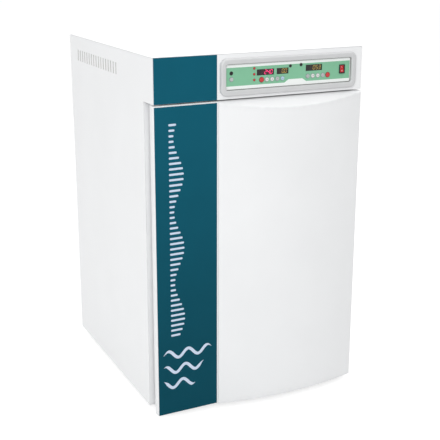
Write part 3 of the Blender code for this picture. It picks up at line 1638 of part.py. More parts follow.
def build_rear_fittings():
    """The access port's plug, the gas inlet barb and the mains inlet."""
    body = PORT_RADIUS - PLUG_FIT
    plug = turned(
        "port_plug",
        [
            (0, PLUG_FLANGE),
            (PLUG_FLANGE_RADIUS * 0.9, PLUG_FLANGE),
            (PLUG_FLANGE_RADIUS, PLUG_FLANGE * 0.75),
            (PLUG_FLANGE_RADIUS, GAP),
            (body, GAP),
            (body * 0.96, -PLUG_REACH),
            (0, -PLUG_REACH),
        ],
        (PORT_X, REAR, CHAMBER_BOTTOM + PORT_HEIGHT),
        "+Y",
        "silicone",
    )
    carry(make_pivot("port_plug_slide", plug.location.copy()), plug)
    ridge = GAS_RADIUS * 0.8
    root = GAS_RADIUS * 0.6
    barb = [(0, REAR_REACH), (root, REAR_REACH)]
    for step in range(GAS_BARBS):
        foot = REAR_REACH - (step + 1) * GAS_BARB_PITCH
        barb += [(ridge, foot), (root, foot - GAS_BARB_STEP)]
    turned(
        "gas_inlet",
        [
            *barb,
            (root, GAS_NUT),
            (2 * GAS_RADIUS, GAS_NUT),
            (2 * GAS_RADIUS, GAP),
            (GAS_RADIUS, GAP),
            (GAS_RADIUS, -GAS_STEM),
            (0, -GAS_STEM),
        ],
        (INLET_X, REAR, BASE_Z + GAS_RISE),
        "+Y",
        "brass",
        16,
    )
    build_mains_inlet()


def build_mains_inlet():
    """A flanged mains inlet with its well and three flat pins."""
    x = INLET_X
    z = BASE_Z + INLET_RISE
    outline = rounded_rectangle(
        x - INLET_WIDTH / 2,
        z - INLET_HEIGHT / 2,
        x + INLET_WIDTH / 2,
        z + INLET_HEIGHT / 2,
        INLET_CORNER,
        2,
    )
    face = REAR + GAP
    inlet = plate(
        "mains_inlet", [outline], INLET_FLANGE, (0, face + INLET_FLANGE / 2, 0), finish="black_plastic"
    )
    half_x = INLET_WIDTH / 2 - INLET_FLANGE
    half_z = INLET_HEIGHT / 2 - INLET_FLANGE
    wall = INLET_WALL
    join(
        inlet,
        box(
            "inlet_body",
            (x - half_x, face - INLET_DEPTH, z - half_z),
            (x + half_x, face + INLET_FLANGE / 2, z + half_z),
        ),
    )
    cut(
        inlet,
        box(
            "inlet_well",
            (x - half_x + wall, face - INLET_DEPTH + 4 * wall, z - half_z + wall),
            (x + half_x - wall, face + 2 * INLET_FLANGE, z + half_z - wall),
        ),
    )
    for index, (across, up) in enumerate(INLET_PINS):
        middle = Vector((x + across, 0, z + up))
        pin = box(
            f"inlet_pin_{index + 1}",
            middle + Vector((-INLET_PIN_WIDTH / 2, face - INLET_DEPTH + 2 * wall, -INLET_PIN_HEIGHT / 2)),
            middle + Vector((INLET_PIN_WIDTH / 2, face - INLET_PIN_SET_BACK, INLET_PIN_HEIGHT / 2)),
        )
        join(inlet, pin)


def main():
    build_side_panels()
    build_covers()
    build_head()
    build_feet()
    build_front_frame()
    build_chamber()
    build_shelf()
    build_bezel()
    build_overlay()
    build_board()
    build_displays()
    build_buttons()
    build_rocker_switch()
    build_outer_door()
    build_lower_hinge()
    build_glass_door()
    build_shaker_base()
    build_cranks()
    build_platform()
    build_drive()
    build_fan()
    build_duct()
    build_probe()
    build_rear_fittings()


main()
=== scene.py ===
"""Looks for a carbon dioxide incubator with an orbital shaker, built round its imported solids.

Metres, +Z up. The front faces -Y, +X is to the right as one faces the cabinet, and the origin is on
the floor. Solids whose shape is right are dressed, and the ones that need finer forms are replaced
by surfaces worked out on grids of points.
"""

from __future__ import annotations

import json
import logging
import math
from dataclasses import dataclass, field
from enum import Enum
from functools import cached_property
from typing import Iterable, Sequence

import bmesh
import bpy
import numpy as np
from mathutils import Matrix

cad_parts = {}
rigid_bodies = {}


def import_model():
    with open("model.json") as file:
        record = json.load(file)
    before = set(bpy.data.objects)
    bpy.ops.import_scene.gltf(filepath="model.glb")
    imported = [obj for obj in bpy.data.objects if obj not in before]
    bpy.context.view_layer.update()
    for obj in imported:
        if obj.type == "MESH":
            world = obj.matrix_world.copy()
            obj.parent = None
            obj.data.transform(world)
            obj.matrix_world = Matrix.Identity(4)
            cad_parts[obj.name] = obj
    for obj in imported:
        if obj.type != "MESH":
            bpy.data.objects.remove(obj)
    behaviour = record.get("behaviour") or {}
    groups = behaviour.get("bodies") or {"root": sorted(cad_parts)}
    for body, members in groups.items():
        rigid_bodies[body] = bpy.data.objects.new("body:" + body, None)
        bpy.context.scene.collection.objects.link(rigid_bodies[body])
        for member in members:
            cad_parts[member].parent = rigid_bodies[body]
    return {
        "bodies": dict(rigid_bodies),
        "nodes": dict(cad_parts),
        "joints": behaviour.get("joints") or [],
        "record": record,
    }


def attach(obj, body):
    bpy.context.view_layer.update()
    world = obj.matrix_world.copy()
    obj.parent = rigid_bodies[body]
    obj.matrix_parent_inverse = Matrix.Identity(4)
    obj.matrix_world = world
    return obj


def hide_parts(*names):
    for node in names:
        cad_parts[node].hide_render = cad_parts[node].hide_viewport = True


LOG = logging.getLogger("incubator")
MM = 0.001
Pair = tuple[float, float]
Point = tuple[float, float, float]
Colour = tuple[float, float, float]
Tree = bpy.types.NodeTree
Socket = bpy.types.NodeSocket
Feed = float | Colour | Socket


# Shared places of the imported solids, in metres

FRONT = -0.3355
REAR = 0.3445
HALF_WIDTH = 0.310
HEIGHT = 1.0
DOOR_LOW = 0.018
DOOR_HIGH = 0.878
FRAME_FRONT = -0.2705
FILM_FACE = -0.3364
BEZEL_Z = 0.9385
PANEL_LEFT = -0.110
PANEL_WIDTH = 0.382
OVERLAY_FACE = -0.3378
DOOR_REAR = FRONT + 0.058

# How far marks and rings reach into the face that carries them

SUNK = 0.02 * MM


class Axis(Enum):
    """The way that a turned piece's own axis points."""

    UP = "up"
    FORWARD = "forward"
    BACKWARD = "backward"


class Plane(Enum):
    """The plane that an outline is drawn in, and so the way that its depth runs."""

    FACING = "facing"
    LEVEL = "level"
    SIDEWAYS = "sideways"


@dataclass
class Skin:
    """A surface as arrays.

    Attributes:
        points: The places of its points, one row each.
        quads: Rows of four point numbers.
        caps: Further faces, each an array of point numbers.
        worn: How much each point lies on an edge that hands and cloths reach, from 0 to 1.
    """

    points: np.ndarray
    quads: np.ndarray
    caps: list[np.ndarray] = field(default_factory=list)
    worn: np.ndarray | None = None

    def moved(self, place: Point) -> Skin:
        """The same skin, carried to another place."""
        return Skin(self.points + np.asarray(place), self.quads, self.caps, self.worn)


def joined(skins: Sequence[Skin]) -> Skin:
    """Several skins as one.

    Args:
        skins: The skins, which keep their order.

    Returns:
        One skin, in which each later skin's point numbers are raised by the points before it.
    """
    starts = np.cumsum([0] + [len(skin.points) for skin in skins[:-1]])
    points = np.concatenate([skin.points for skin in skins])
    quads = np.concatenate([skin.quads + start for skin, start in zip(skins, starts)])
    caps = [cap + start for skin, start in zip(skins, starts) for cap in skin.caps]
    worn = np.concatenate(
        [np.zeros(len(skin.points)) if skin.worn is None else skin.worn for skin in skins]
    )
    return Skin(points, quads, caps, worn)


def grid_quads(rows: int, columns: int, wrap_rows: bool = False, wrap_columns: bool = False) -> np.ndarray:
    """The faces of a grid whose points are numbered row by row.

    Args:
        rows: How many rows of points.
        columns: How many points in a row.
        wrap_rows: Whether the last row joins the first.
        wrap_columns: Whether each row is a closed loop.

    Returns:
        Rows of four point numbers: (i, j), (i, j+1), (i+1, j+1), (i+1, j) for every cell.
    """
    i = np.arange(rows if wrap_rows else rows - 1)[:, None]
    j = np.arange(columns if wrap_columns else columns - 1)[None, :]
    after_i = (i + 1) % rows
    after_j = (j + 1) % columns
    cells = [i * columns + j, i * columns + after_j, after_i * columns + after_j, after_i * columns + j]
    return np.stack(np.broadcast_arrays(*cells), axis=-1).reshape(-1, 4)


def quarter_turn(steps: int) -> np.ndarray:
    """Angles from 0 to a quarter turn, both included."""
    return np.linspace(0.0, math.pi / 2, steps + 1)


def rounded_outline(low: Pair, high: Pair, radius: float, steps: int = 6) -> np.ndarray:
    """A rectangle with rounded corners, as one closed line.

    Each corner is a quarter circle: its centre plus the radius times (cosine, sine) of an angle that
    runs on from one corner to the next, anticlockwise from the corner at the high end of both axes.

    Args:
        low: Lowest place in both directions.
        high: Highest place in both directions.
        radius: Corner radius.
        steps: Steps in each corner.

    Returns:
        An array of 4 * (steps + 1) rows of two numbers.
    """
    signs = np.array([[1, 1], [-1, 1], [-1, -1], [1, -1]], float)
    middle = (np.asarray(low, float) + np.asarray(high, float)) / 2
    half = (np.asarray(high, float) - np.asarray(low, float)) / 2
    centres = middle + signs * (half - radius)
    turns = quarter_turn(steps)[None, :] + np.arange(4)[:, None] * math.pi / 2
    rounds = radius * np.stack([np.cos(turns), np.sin(turns)], axis=-1)
    return (centres[:, None, :] + rounds).reshape(-1, 2)


def placed(flat: np.ndarray, depth: np.ndarray, plane: Plane) -> np.ndarray:
    """Outline points and their depths as places in the room.

    Args:
        flat: Places within the plane, the last axis being (across, up).
        depth: How far each lies along the plane's own depth: backwards for a facing plane, up for a
            level one and to the right for a sideways one.
        plane: The plane.

    Returns:
        An array with a last axis of three.
    """
    across, up = flat[..., 0], flat[..., 1]
    depth = np.broadcast_to(depth, across.shape)
    if plane is Plane.FACING:
        return np.stack([across, depth, up], axis=-1)
    if plane is Plane.LEVEL:
        return np.stack([across, up, depth], axis=-1)
    return np.stack([depth, across, up], axis=-1)


def lofted(
    outlines: Sequence[np.ndarray],
    depths: Sequence[float],
    plane: Plane = Plane.FACING,
    ring: bool = False,
    worn: Sequence[float] | None = None,
) -> Skin:
    """A skin drawn through closed outlines with equal numbers of points.

    The two parameters are the outline's number and the place along it: row i of the grid is outline
    i at depth i. The first and last are closed by flat caps, or joined to each other in a ring.

    Args:
        outlines: The closed lines, in order.
        depths: The depth of each.
        plane: The plane that the outlines lie in.
        ring: Whether the last outline joins the first, as in a frame round an opening.
        worn: How worn each outline is.

    Returns:
        The skin.
    """
    flat = np.stack(outlines)
    rows, columns = flat.shape[:2]
    points = placed(flat, np.asarray(depths, float)[:, None], plane).reshape(-1, 3)
    caps = [] if ring else [np.arange(columns)[::-1], (rows - 1) * columns + np.arange(columns)]
    wear = None if worn is None else np.repeat(np.asarray(worn, float), columns)
    return Skin(points, grid_quads(rows, columns, ring, True), caps, wear)


def rounded_block(low: Point, high: Point, radius: float, steps: int = 3) -> Skin:
    """A box whose edges and corners are all rounded by one radius.

    Each side is a grid of two angles, a and b, that run from -45 to 0 degrees at one edge and from 0
    to 45 at the other. A point is the nearest point of the inner box plus the radius times the unit
    vector of (tan a, tan b, 1), so neighbouring sides meet along the middle of the rounding.

    Args:
        low: Lowest corner.
        high: Highest corner.
        radius: Rounding radius.
        steps: Steps on each side's share of a rounding.

    Returns:
        The six sides, whose seams are merged when the piece is made.
    """
    low_corner, high_corner = np.asarray(low, float), np.asarray(high, float)
    fine = np.linspace(0.0, math.pi / 4, steps + 1)
    lean = np.concatenate([-fine[::-1], fine])
    at_high = np.concatenate([np.zeros(steps + 1), np.ones(steps + 1)])
    count = len(lean)
    sides = []
    for axis in range(3):
        first, second = (axis + 1) % 3, (axis + 2) % 3
        for sign in (-1.0, 1.0):
            way = np.zeros((count, count, 3))
            way[..., first] = np.tan(lean)[:, None]
            way[..., second] = np.tan(lean)[None, :]
            way[..., axis] = sign
            way /= np.linalg.norm(way, axis=-1, keepdims=True)
            inner = np.empty((count, count, 3))
            for other, share in ((first, at_high[:, None]), (second, at_high[None, :])):
                near, far = low_corner[other] + radius, high_corner[other] - radius
                inner[..., other] = near + (far - near) * share
            inner[..., axis] = high_corner[axis] - radius if sign > 0 else low_corner[axis] + radius
            points = (inner + radius * way).reshape(-1, 3)
            tilt = np.maximum(np.abs(lean)[:, None], np.abs(lean)[None, :]) / (math.pi / 4)
            quads = grid_quads(count, count)
            sides.append(Skin(points, quads if sign > 0 else quads[:, ::-1], worn=tilt.reshape(-1)))
    return joined(sides)


def turned_skin(
    profile: Sequence[Pair],
    centre: Point,
    axis: Axis = Axis.UP,
    sides: int = 32,
    flutes: int = 0,
    flute_depth: float = 0.0,
    flute_span: Pair = (0.0, 0.0),
) -> Skin:
    """A turned skin, closed at both ends of its axis.

    Its parameters are the place s along the profile and the turn t about the axis: the point is
    (r(s) cos t, r(s) sin t, h(s)), where r may be drawn in by flutes as depth times (1 + cos(n t)) / 2
    between two heights.

    Args:
        profile: (radius, height) pairs from the far end of the axis to its foot.
        centre: The foot's place.
        axis: The way the heights run.
        sides: Points round the axis.
        flutes: How many flutes, or 0.
        flute_depth: Their depth.
        flute_span: The heights that they lie between.

    Returns:
        The skin.
    """
    line = np.asarray(profile, float)
    turn = np.arange(sides) * math.tau / sides
    inside = (line[:, 1] >= flute_span[0]) & (line[:, 1] <= flute_span[1]) & (flutes > 0)
    drawn = flute_depth * (1 + np.cos(flutes * turn))[None, :] / 2 * inside[:, None]
    radius = np.maximum(line[:, 0][:, None] - drawn, 0.0)
    height = np.broadcast_to(line[:, 1][:, None], radius.shape)
    across, round_ = radius * np.cos(turn), radius * np.sin(turn)
    if axis is Axis.UP:
        points = np.stack([across, round_, height], axis=-1)
    elif axis is Axis.FORWARD:
        points = np.stack([across, -height, round_], axis=-1)
    else:
        points = np.stack([across, height, round_], axis=-1)
    points = points.reshape(-1, 3) + np.asarray(centre)
    last = (len(line) - 1) * sides
    caps = [np.arange(sides), last + np.arange(sides)[::-1]]
    return Skin(points, grid_quads(len(line), sides, False, True), caps)


def corner_curve(
    before: np.ndarray, corner: np.ndarray, after: np.ndarray, radius: float, steps: int
) -> np.ndarray:
    """The curves that round many corners at once.

    Corner C, with its neighbours A and B, becomes C + (A - C)' t (1 - s)^2 + (B - C)' t s^2 for s
    from 0 to 1, where a dash marks a unit vector and t is the radius, or two fifths of the shorter
    neighbour where that is less.

    Args:
        before: Each corner's neighbour before it, as rows of two numbers.
        corner: The corners.
        after: Each corner's neighbour after it.
        radius: How far before a corner its rounding starts.
        steps: Steps in each rounding.

    Returns:
        An array (corners, steps + 1, 2).
    """
    back, ahead = before - corner, after - corner
    back_length = np.linalg.norm(back, axis=1, keepdims=True)
    ahead_length = np.linalg.norm(ahead, axis=1, keepdims=True)
    reach = np.minimum(radius, 0.4 * np.minimum(back_length, ahead_length))
    s = np.linspace(0.0, 1.0, steps + 1)[None, :, None]
    return (
        corner[:, None, :]
        + (back / back_length * reach)[:, None, :] * (1 - s) ** 2
        + (ahead / ahead_length * reach)[:, None, :] * s**2
    )


def softened(corners: Sequence[Pair], radius: float, steps: int = 4) -> np.ndarray:
    """An open line whose inner corners are rounded.

    Args:
        corners: The corners.
        radius: How far before a corner its rounding starts.
        steps: Steps in each rounding.

    Returns:
        Rows of two numbers.
    """
    line = np.asarray(corners, float)
    curve = corner_curve(line[:-2], line[1:-1], line[2:], radius, steps)
    return np.concatenate([line[:1], curve.reshape(-1, 2), line[-1:]])


def drawn_in(outline: np.ndarray, distance: float) -> np.ndarray:
    """A closed anticlockwise outline moved inwards.

    Each point moves along the sum of its two edges' inward normals n1 + n2, scaled by
    distance / (1 + n1 . n2), which keeps every edge parallel to itself.

    Args:
        outline: The closed line.
        distance: How far to move it.

    Returns:
        The moved line.
    """
    edge = np.roll(outline, -1, axis=0) - outline
    edge /= np.maximum(np.linalg.norm(edge, axis=1, keepdims=True), 1e-12)
    inward = np.stack([-edge[:, 1], edge[:, 0]], axis=1)
    before = np.roll(inward, 1, axis=0)
    share = distance / np.maximum(1 + (inward * before).sum(axis=1, keepdims=True), 0.3)
    return outline + (inward + before) * share


def prism(
    outline: np.ndarray, low: float, high: float, plane: Plane, radius: float = 0.0, steps: int = 3
) -> Skin:
    """An outline given depth, with both rims rounded.

    At each end the outline is drawn in by radius (1 - cos a) while its depth runs by radius (1 -
    sin a), for a from a quarter turn to 0.

    Args:
        outline: A closed anticlockwise line.
        low: The depth where it starts.
        high: The depth where it ends.
        plane: The plane it is drawn in.
        radius: Rounding of the rims.
        steps: Steps in a rounding.

    Returns:
        The skin.
    """
    if radius <= 0.0:
        return lofted([outline, outline], [low, high], plane)
    turns = quarter_turn(steps)
    inset = radius * (1 - np.sin(turns))
    rise = radius * (1 - np.cos(turns))
    insets = np.concatenate([[inset[0] + radius / 2], inset, inset[::-1], [inset[0] + radius / 2]])
    depths = np.concatenate([[low], low + rise, high - rise[::-1], [high]])
    tilt = np.concatenate([[0], np.sin(2 * turns), np.sin(2 * turns[::-1]), [0]])
    return lofted([drawn_in(outline, inset) for inset in insets], depths, plane, worn=tilt)


def flat_marks(outlines: np.ndarray, face: float, thickness: float) -> Skin:
    """Many thin flat marks on a surface that faces forwards.

    Mark k has its outline at two depths, the face less the thickness and the face itself, joined by
    a side wall and closed by two caps.

    Args:
        outlines: An array (marks, points, 2) of closed anticlockwise lines.
        face: The depth of the surface that carries the marks.
        thickness: How far they stand forward of it.

    Returns:
        One skin for all the marks.
    """
    marks, count = outlines.shape[:2]
    depth = np.array([face - thickness, face])
    flat = np.broadcast_to(outlines[:, None], (marks, 2, count, 2))
    points = placed(flat, depth[None, :, None], Plane.FACING).reshape(-1, 3)
    one = grid_quads(2, count, False, True)
    starts = np.arange(marks) * 2 * count
    quads = (one[None] + starts[:, None, None]).reshape(-1, 4)
    front = starts[:, None] + np.arange(count)[::-1]
    back = starts[:, None] + count + np.arange(count)
    return Skin(points, quads, [*front, *back])


def ribbon(centre_line: np.ndarray, width: np.ndarray, face: float, thickness: float) -> Skin:
    """A flat band that follows a line on a surface that faces forwards.

    Its section, a thin rectangle, is carried along the line: at each station the four corners are
    the centre plus and minus half the width along the line's normal, at two depths.

    Args:
        centre_line: Rows of (across, up).
        width: The width at each station.
        face: The depth of the surface that carries it.
        thickness: How far it stands forward.

    Returns:
        The skin.
    """
    along = np.gradient(centre_line, axis=0)
    along /= np.linalg.norm(along, axis=1, keepdims=True)
    normal = np.stack([-along[:, 1], along[:, 0]], axis=1) * (width / 2)[:, None]
    sides = np.stack([centre_line - normal, centre_line + normal], axis=1)
    flat = sides[:, [0, 1, 1, 0]]
    depth = np.array([face - thickness, face - thickness, face, face])
    points = placed(flat, depth[None, :], Plane.FACING).reshape(-1, 3)
    last = (len(centre_line) - 1) * 4
    caps = [np.arange(4)[::-1], last + np.arange(4)]
    return Skin(points, grid_quads(len(centre_line), 4, False, True), caps)


# Finishes

# A Mix node's colour sockets by number, because its sockets of other kinds have the same names

MIX_COLOURS = (6, 7)
MIX_RESULT = 2

# The kinds of a node group's sockets

VECTOR = "NodeSocketVector"
NUMBER = "NodeSocketFloat"


def srgb(red: int, green: int, blue: int) -> Colour:
    """A screen colour as the linear colour that a shader takes.

    Args:
        red: Its red, from 0 to 255.
        green: Its green.
        blue: Its blue.

    Returns:
        The linear colour, each share from 0 to 1.
    """
    share = np.array([red, green, blue]) / 255
    linear = np.where(share <= 0.04045, share / 12.92, ((share + 0.055) / 1.055) ** 2.4)
    return (float(linear[0]), float(linear[1]), float(linear[2]))


def scaled(colour: Colour, share: float) -> Colour:
    """A colour made darker or lighter by one share."""
    return (colour[0] * share, colour[1] * share, colour[2] * share)


def add_node(
    tree: Tree, kind: str, inputs: dict[str | int, Feed] | None = None, **settings: str
) -> bpy.types.Node:
    """Add one node to a tree.

    Args:
        tree: The node tree.
        kind: The node's type.
        inputs: Values or other nodes' sockets, by the name or number of the input.
        **settings: The node's own settings.

    Returns:
        The node.
    """
    node = tree.nodes.new(kind)
    for name, value in settings.items():
        setattr(node, name, value)
    for key, value in (inputs or {}).items():
        if isinstance(value, Socket):
            tree.links.new(value, node.inputs[key])
        else:
            node.inputs[key].default_value = value
    return node


def worked(tree: Tree, operation: str, *values: Feed) -> Socket:
    """The result of one Math node on values or sockets."""
    node = add_node(tree, "ShaderNodeMath", dict(enumerate(values)), operation=operation)
    return node.outputs[0]


def blended(tree: Tree, share: Feed, one: Feed, other: Feed) -> Socket:
    """Two colours mixed.

    Args:
        tree: The node tree.
        share: 0 for the first colour and 1 for the other.
        one: The first colour, or a socket that gives it.
        other: The other colour, or a socket that gives it.

    Returns:
        The socket of the mixed colour.
    """
    colours = {
        key: (*value, 1.0) if isinstance(value, tuple) else value
        for key, value in zip(MIX_COLOURS, (one, other))
    }
    node = add_node(tree, "ShaderNodeMix", {0: share, **colours}, data_type="RGBA")
    return node.outputs[MIX_RESULT]


def spread(tree: Tree, value: Feed, low: float, high: float) -> Socket:
    """A share from 0 to 1 spread between two numbers."""
    inputs = {"Value": value, "To Min": low, "To Max": high}
    return add_node(tree, "ShaderNodeMapRange", inputs).outputs["Result"]


def noise(tree: Tree, place: Feed, scale: Feed, detail: float, roughness: float = 0.5) -> Socket:
    """Smooth noise from 0 to 1.

    Args:
        tree: The node tree.
        place: The socket that gives each point's place.
        scale: How fine the noise is.
        detail: How many finer layers lie over it.
        roughness: How strong the finer layers are.

    Returns:
        The socket of its value.
    """
    inputs = {"Vector": place, "Scale": scale, "Detail": detail, "Roughness": roughness}
    return add_node(tree, "ShaderNodeTexNoise", inputs).outputs[0]


@dataclass
class EffectGroups:
    """The effects that several finishes share, each a node group that is built once."""

    coarse_share: float = 0.35
    cloud_scale: float = 9.0
    patch_scale: float = 60.0
    film_scale: float = 14.0
    film_falloff: float = 6.0

    def _start(
        self, name: str, inputs: dict[str, str], outputs: dict[str, str]
    ) -> tuple[Tree, bpy.types.NodeOutputs, bpy.types.Node]:
        """A new group with its sockets.

        Args:
            name: The group's name.
            inputs: Socket types by input name.
            outputs: Socket types by output name.

        Returns:
            The tree, its input node's sockets and its output node.
        """
        tree = bpy.data.node_groups.new(name, "ShaderNodeTree")
        for label, kind in inputs.items():
            tree.interface.new_socket(name=label, in_out="INPUT", socket_type=kind)
        for label, kind in outputs.items():
            tree.interface.new_socket(name=label, in_out="OUTPUT", socket_type=kind)
        return tree, tree.nodes.new("NodeGroupInput").outputs, tree.nodes.new("NodeGroupOutput")

    @cached_property
    def fine_grain(self) -> Tree:
        """Fine and coarse noise: a height for the surface's texture and a tone for its colour.

        Returns:
            The group's tree.
        """
        tree, given, result = self._start(
            "fine grain",
            {"Vector": VECTOR, "Scale": NUMBER, "Tone Scale": NUMBER},
            {"Height": NUMBER, "Tone": NUMBER},
        )
        fine = noise(tree, given["Vector"], given["Scale"], 3.0)
        coarse = noise(tree, given["Vector"], given["Tone Scale"], 2.0)
        height = worked(tree, "MULTIPLY_ADD", coarse, self.coarse_share, fine)
        tree.links.new(height, result.inputs["Height"])
        tree.links.new(coarse, result.inputs["Tone"])
        return tree

    @cached_property
    def brushed_lines(self) -> Tree:
        """Noise drawn out along one way, as brushing or turning leaves on metal.

        Returns:
            The group's tree.
        """
        tree, given, result = self._start(
            "brushed lines", {"Vector": VECTOR, "Stretch": VECTOR}, {"Height": NUMBER, "Tone": NUMBER}
        )
        drawn = add_node(
            tree, "ShaderNodeVectorMath", {0: given["Vector"], 1: given["Stretch"]}, operation="MULTIPLY"
        )
        lines = noise(tree, drawn.outputs[0], 1.0, 4.0, 0.7)
        clouds = noise(tree, given["Vector"], self.cloud_scale, 2.0)
        tone = worked(tree, "MULTIPLY_ADD", clouds, 0.5, worked(tree, "MULTIPLY", lines, 0.5))
        tree.links.new(lines, result.inputs["Height"])
        tree.links.new(tone, result.inputs["Tone"])
        return tree

    @cached_property
    def handled_edges(self) -> Tree:
        """Where an edge is rubbed: the piece's own edge mask, broken up by noise.

        Returns:
            The group's tree.
        """
        tree, given, result = self._start(
            "handled edges", {"Vector": VECTOR, "Edge": NUMBER, "Amount": NUMBER}, {"Mask": NUMBER}
        )
        patches = noise(tree, given["Vector"], self.patch_scale, 4.0)
        broken = worked(tree, "MULTIPLY", given["Edge"], spread(tree, patches, -0.6, 1.8))
        shown = worked(tree, "MULTIPLY", broken, given["Amount"])
        limited = add_node(tree, "ShaderNodeClamp", {"Value": shown})
        tree.links.new(limited.outputs[0], result.inputs["Mask"])
        return tree

    @cached_property
    def settled_dust(self) -> Tree:
        """A thin film of dust on faces that look up, thicker in some places.

        Returns:
            The group's tree.
        """
        tree, given, result = self._start(
            "settled dust", {"Vector": VECTOR, "Normal": VECTOR, "Amount": NUMBER}, {"Mask": NUMBER}
        )
        upward = add_node(tree, "ShaderNodeSeparateXYZ", {0: given["Normal"]}).outputs["Z"]
        level = worked(tree, "POWER", worked(tree, "MAXIMUM", upward, 0.0), self.film_falloff)
        patches = noise(tree, given["Vector"], self.film_scale, 5.0)
        film = worked(tree, "MULTIPLY", level, spread(tree, patches, 0.2, 1.0))
        tree.links.new(worked(tree, "MULTIPLY", film, given["Amount"]), result.inputs["Mask"])
        return tree


EFFECTS = EffectGroups()


@dataclass
class Draft:
    """One material while its nodes are put together."""

    material: bpy.types.Material

    def __post_init__(self) -> None:
        """Take hold of the material's tree, its shader and the piece's own coordinates."""
        self.material.use_nodes = True
        self.tree = self.material.node_tree
        self.shader = self.tree.nodes["Principled BSDF"]
        self.here = self.tree.nodes.new("ShaderNodeTexCoord").outputs["Object"]

    def plain(self, **values: float | tuple[float, float, float, float]) -> None:
        """Set values that are the same all over on the shader's own sockets."""
        for name, value in values.items():
            self.shader.inputs[name.replace("_", " ")].default_value = value

    def feed(self, name: str, socket: Socket) -> None:
        """Link a socket to one of the shader's inputs."""
        self.tree.links.new(socket, self.shader.inputs[name])

    def effect(self, group: Tree, **inputs: Feed) -> bpy.types.NodeOutputs:
        """Place an effect group in the material.

        Args:
            group: The group's tree.
            **inputs: Its inputs by name, in which underscores stand for spaces.

        Returns:
            Its outputs.
        """
        node = self.tree.nodes.new("ShaderNodeGroup")
        node.node_tree = group
        for name, value in {"Vector": self.here, **inputs}.items():
            socket = node.inputs[name.replace("_", " ")]
            if isinstance(value, Socket):
                self.tree.links.new(value, socket)
            else:
                socket.default_value = value
        return node.outputs

    def emboss(self, height: Socket, distance: float, strength: float = 1.0) -> None:
        """Let a height shape the shader's normal.

        Args:
            height: The height, from 0 to 1.
            distance: What a height of 1 measures, in metres.
            strength: How much of it shows.
        """
        inputs = {"Height": height, "Distance": distance, "Strength": strength}
        self.feed("Normal", add_node(self.tree, "ShaderNodeBump", inputs).outputs[0])

    def toned(self, tone: Socket, colour: Colour, dark: float, light: float = 1.0) -> Socket:
        """A colour that a tone carries from a darker share of itself to a lighter one."""
        return blended(self.tree, tone, scaled(colour, dark), scaled(colour, light))

    def uneven(self, tone: Socket, roughness: float, below: float, above: float) -> Socket:
        """A roughness that a tone carries from a little below a value to a little above it."""
        return spread(self.tree, tone, roughness - below, roughness + above)

    def rubbed(self, amount: float) -> Socket:
        """The mask of this piece's handled edges."""
        edge = add_node(self.tree, "ShaderNodeAttribute", attribute_name="worn").outputs["Fac"]
        return self.effect(EFFECTS.handled_edges, Edge=edge, Amount=amount)["Mask"]

    def dusty(self, amount: float) -> Socket:
        """The mask of the dust on this piece."""
        normal = self.tree.nodes.new("ShaderNodeNewGeometry").outputs["Normal"]
        return self.effect(EFFECTS.settled_dust, Normal=normal, Amount=amount)["Mask"]


@dataclass(frozen=True)
class Finish:
    """A finish: its name, the record's slot that it belongs to, its colour and its roughness."""

    name: str
    slot: str
    colour: Colour
    roughness: float

    def apply(self, draft: Draft) -> None:
        """Build the finish's nodes in a draft."""
        draft.plain(Base_Color=(*self.colour, 1.0), Roughness=self.roughness)

    def material(self) -> bpy.types.Material:
        """The finished material.

        Returns:
            A new material with the finish's nodes.
        """
        draft = Draft(bpy.data.materials.new(self.name))
        self.apply(draft)
        return draft.material


@dataclass(frozen=True)
class SprayedPaint(Finish):
    """Baked powder coat: a soft orange peel, slight clouds of tone, dust on top and rubbed edges."""

    peel: float = 0.00002
    dust: float = 0.25
    dust_colour: Colour = srgb(205, 203, 198)
    dust_roughness: float = 0.4
    wear: float = 0.35
    worn_tone: float = 0.72

    def apply(self, draft: Draft) -> None:
        """Build the paint's nodes in a draft.

        Args:
            draft: The draft of its material.
        """
        grain = draft.effect(EFFECTS.fine_grain, Scale=900.0, Tone_Scale=7.0)
        clouded = draft.toned(grain["Tone"], self.colour, 0.965, 1.02)
        rubbed = blended(draft.tree, draft.rubbed(self.wear), clouded, scaled(self.colour, self.worn_tone))
        dust = draft.dusty(self.dust)
        draft.feed("Base Color", blended(draft.tree, dust, rubbed, self.dust_colour))
        rough = draft.uneven(grain["Tone"], self.roughness, 0.05, 0.07)
        draft.feed("Roughness", worked(draft.tree, "MULTIPLY_ADD", dust, self.dust_roughness, rough))
        draft.emboss(grain["Height"], self.peel)


@dataclass(frozen=True)
class MouldedPlastic(Finish):
    """Moulded plastic with a spark-eroded texture and edges polished by handling."""

    grain_scale: float = 2600.0
    grain_depth: float = 0.00002
    wear: float = 0.5
    worn_tone: float = 1.12
    worn_roughness: float = -0.15

    def apply(self, draft: Draft) -> None:
        """Build the plastic's nodes in a draft.

        Args:
            draft: The draft of its material.
        """
        grain = draft.effect(EFFECTS.fine_grain, Scale=self.grain_scale, Tone_Scale=30.0)
        toned = draft.toned(grain["Tone"], self.colour, 0.95, 1.04)
        mask = draft.rubbed(self.wear)
        draft.feed("Base Color", blended(draft.tree, mask, toned, scaled(self.colour, self.worn_tone)))
        rough = draft.uneven(grain["Tone"], self.roughness, 0.06, 0.06)
        draft.feed("Roughness", worked(draft.tree, "MULTIPLY_ADD", mask, self.worn_roughness, rough))
        draft.emboss(grain["Height"], self.grain_depth)


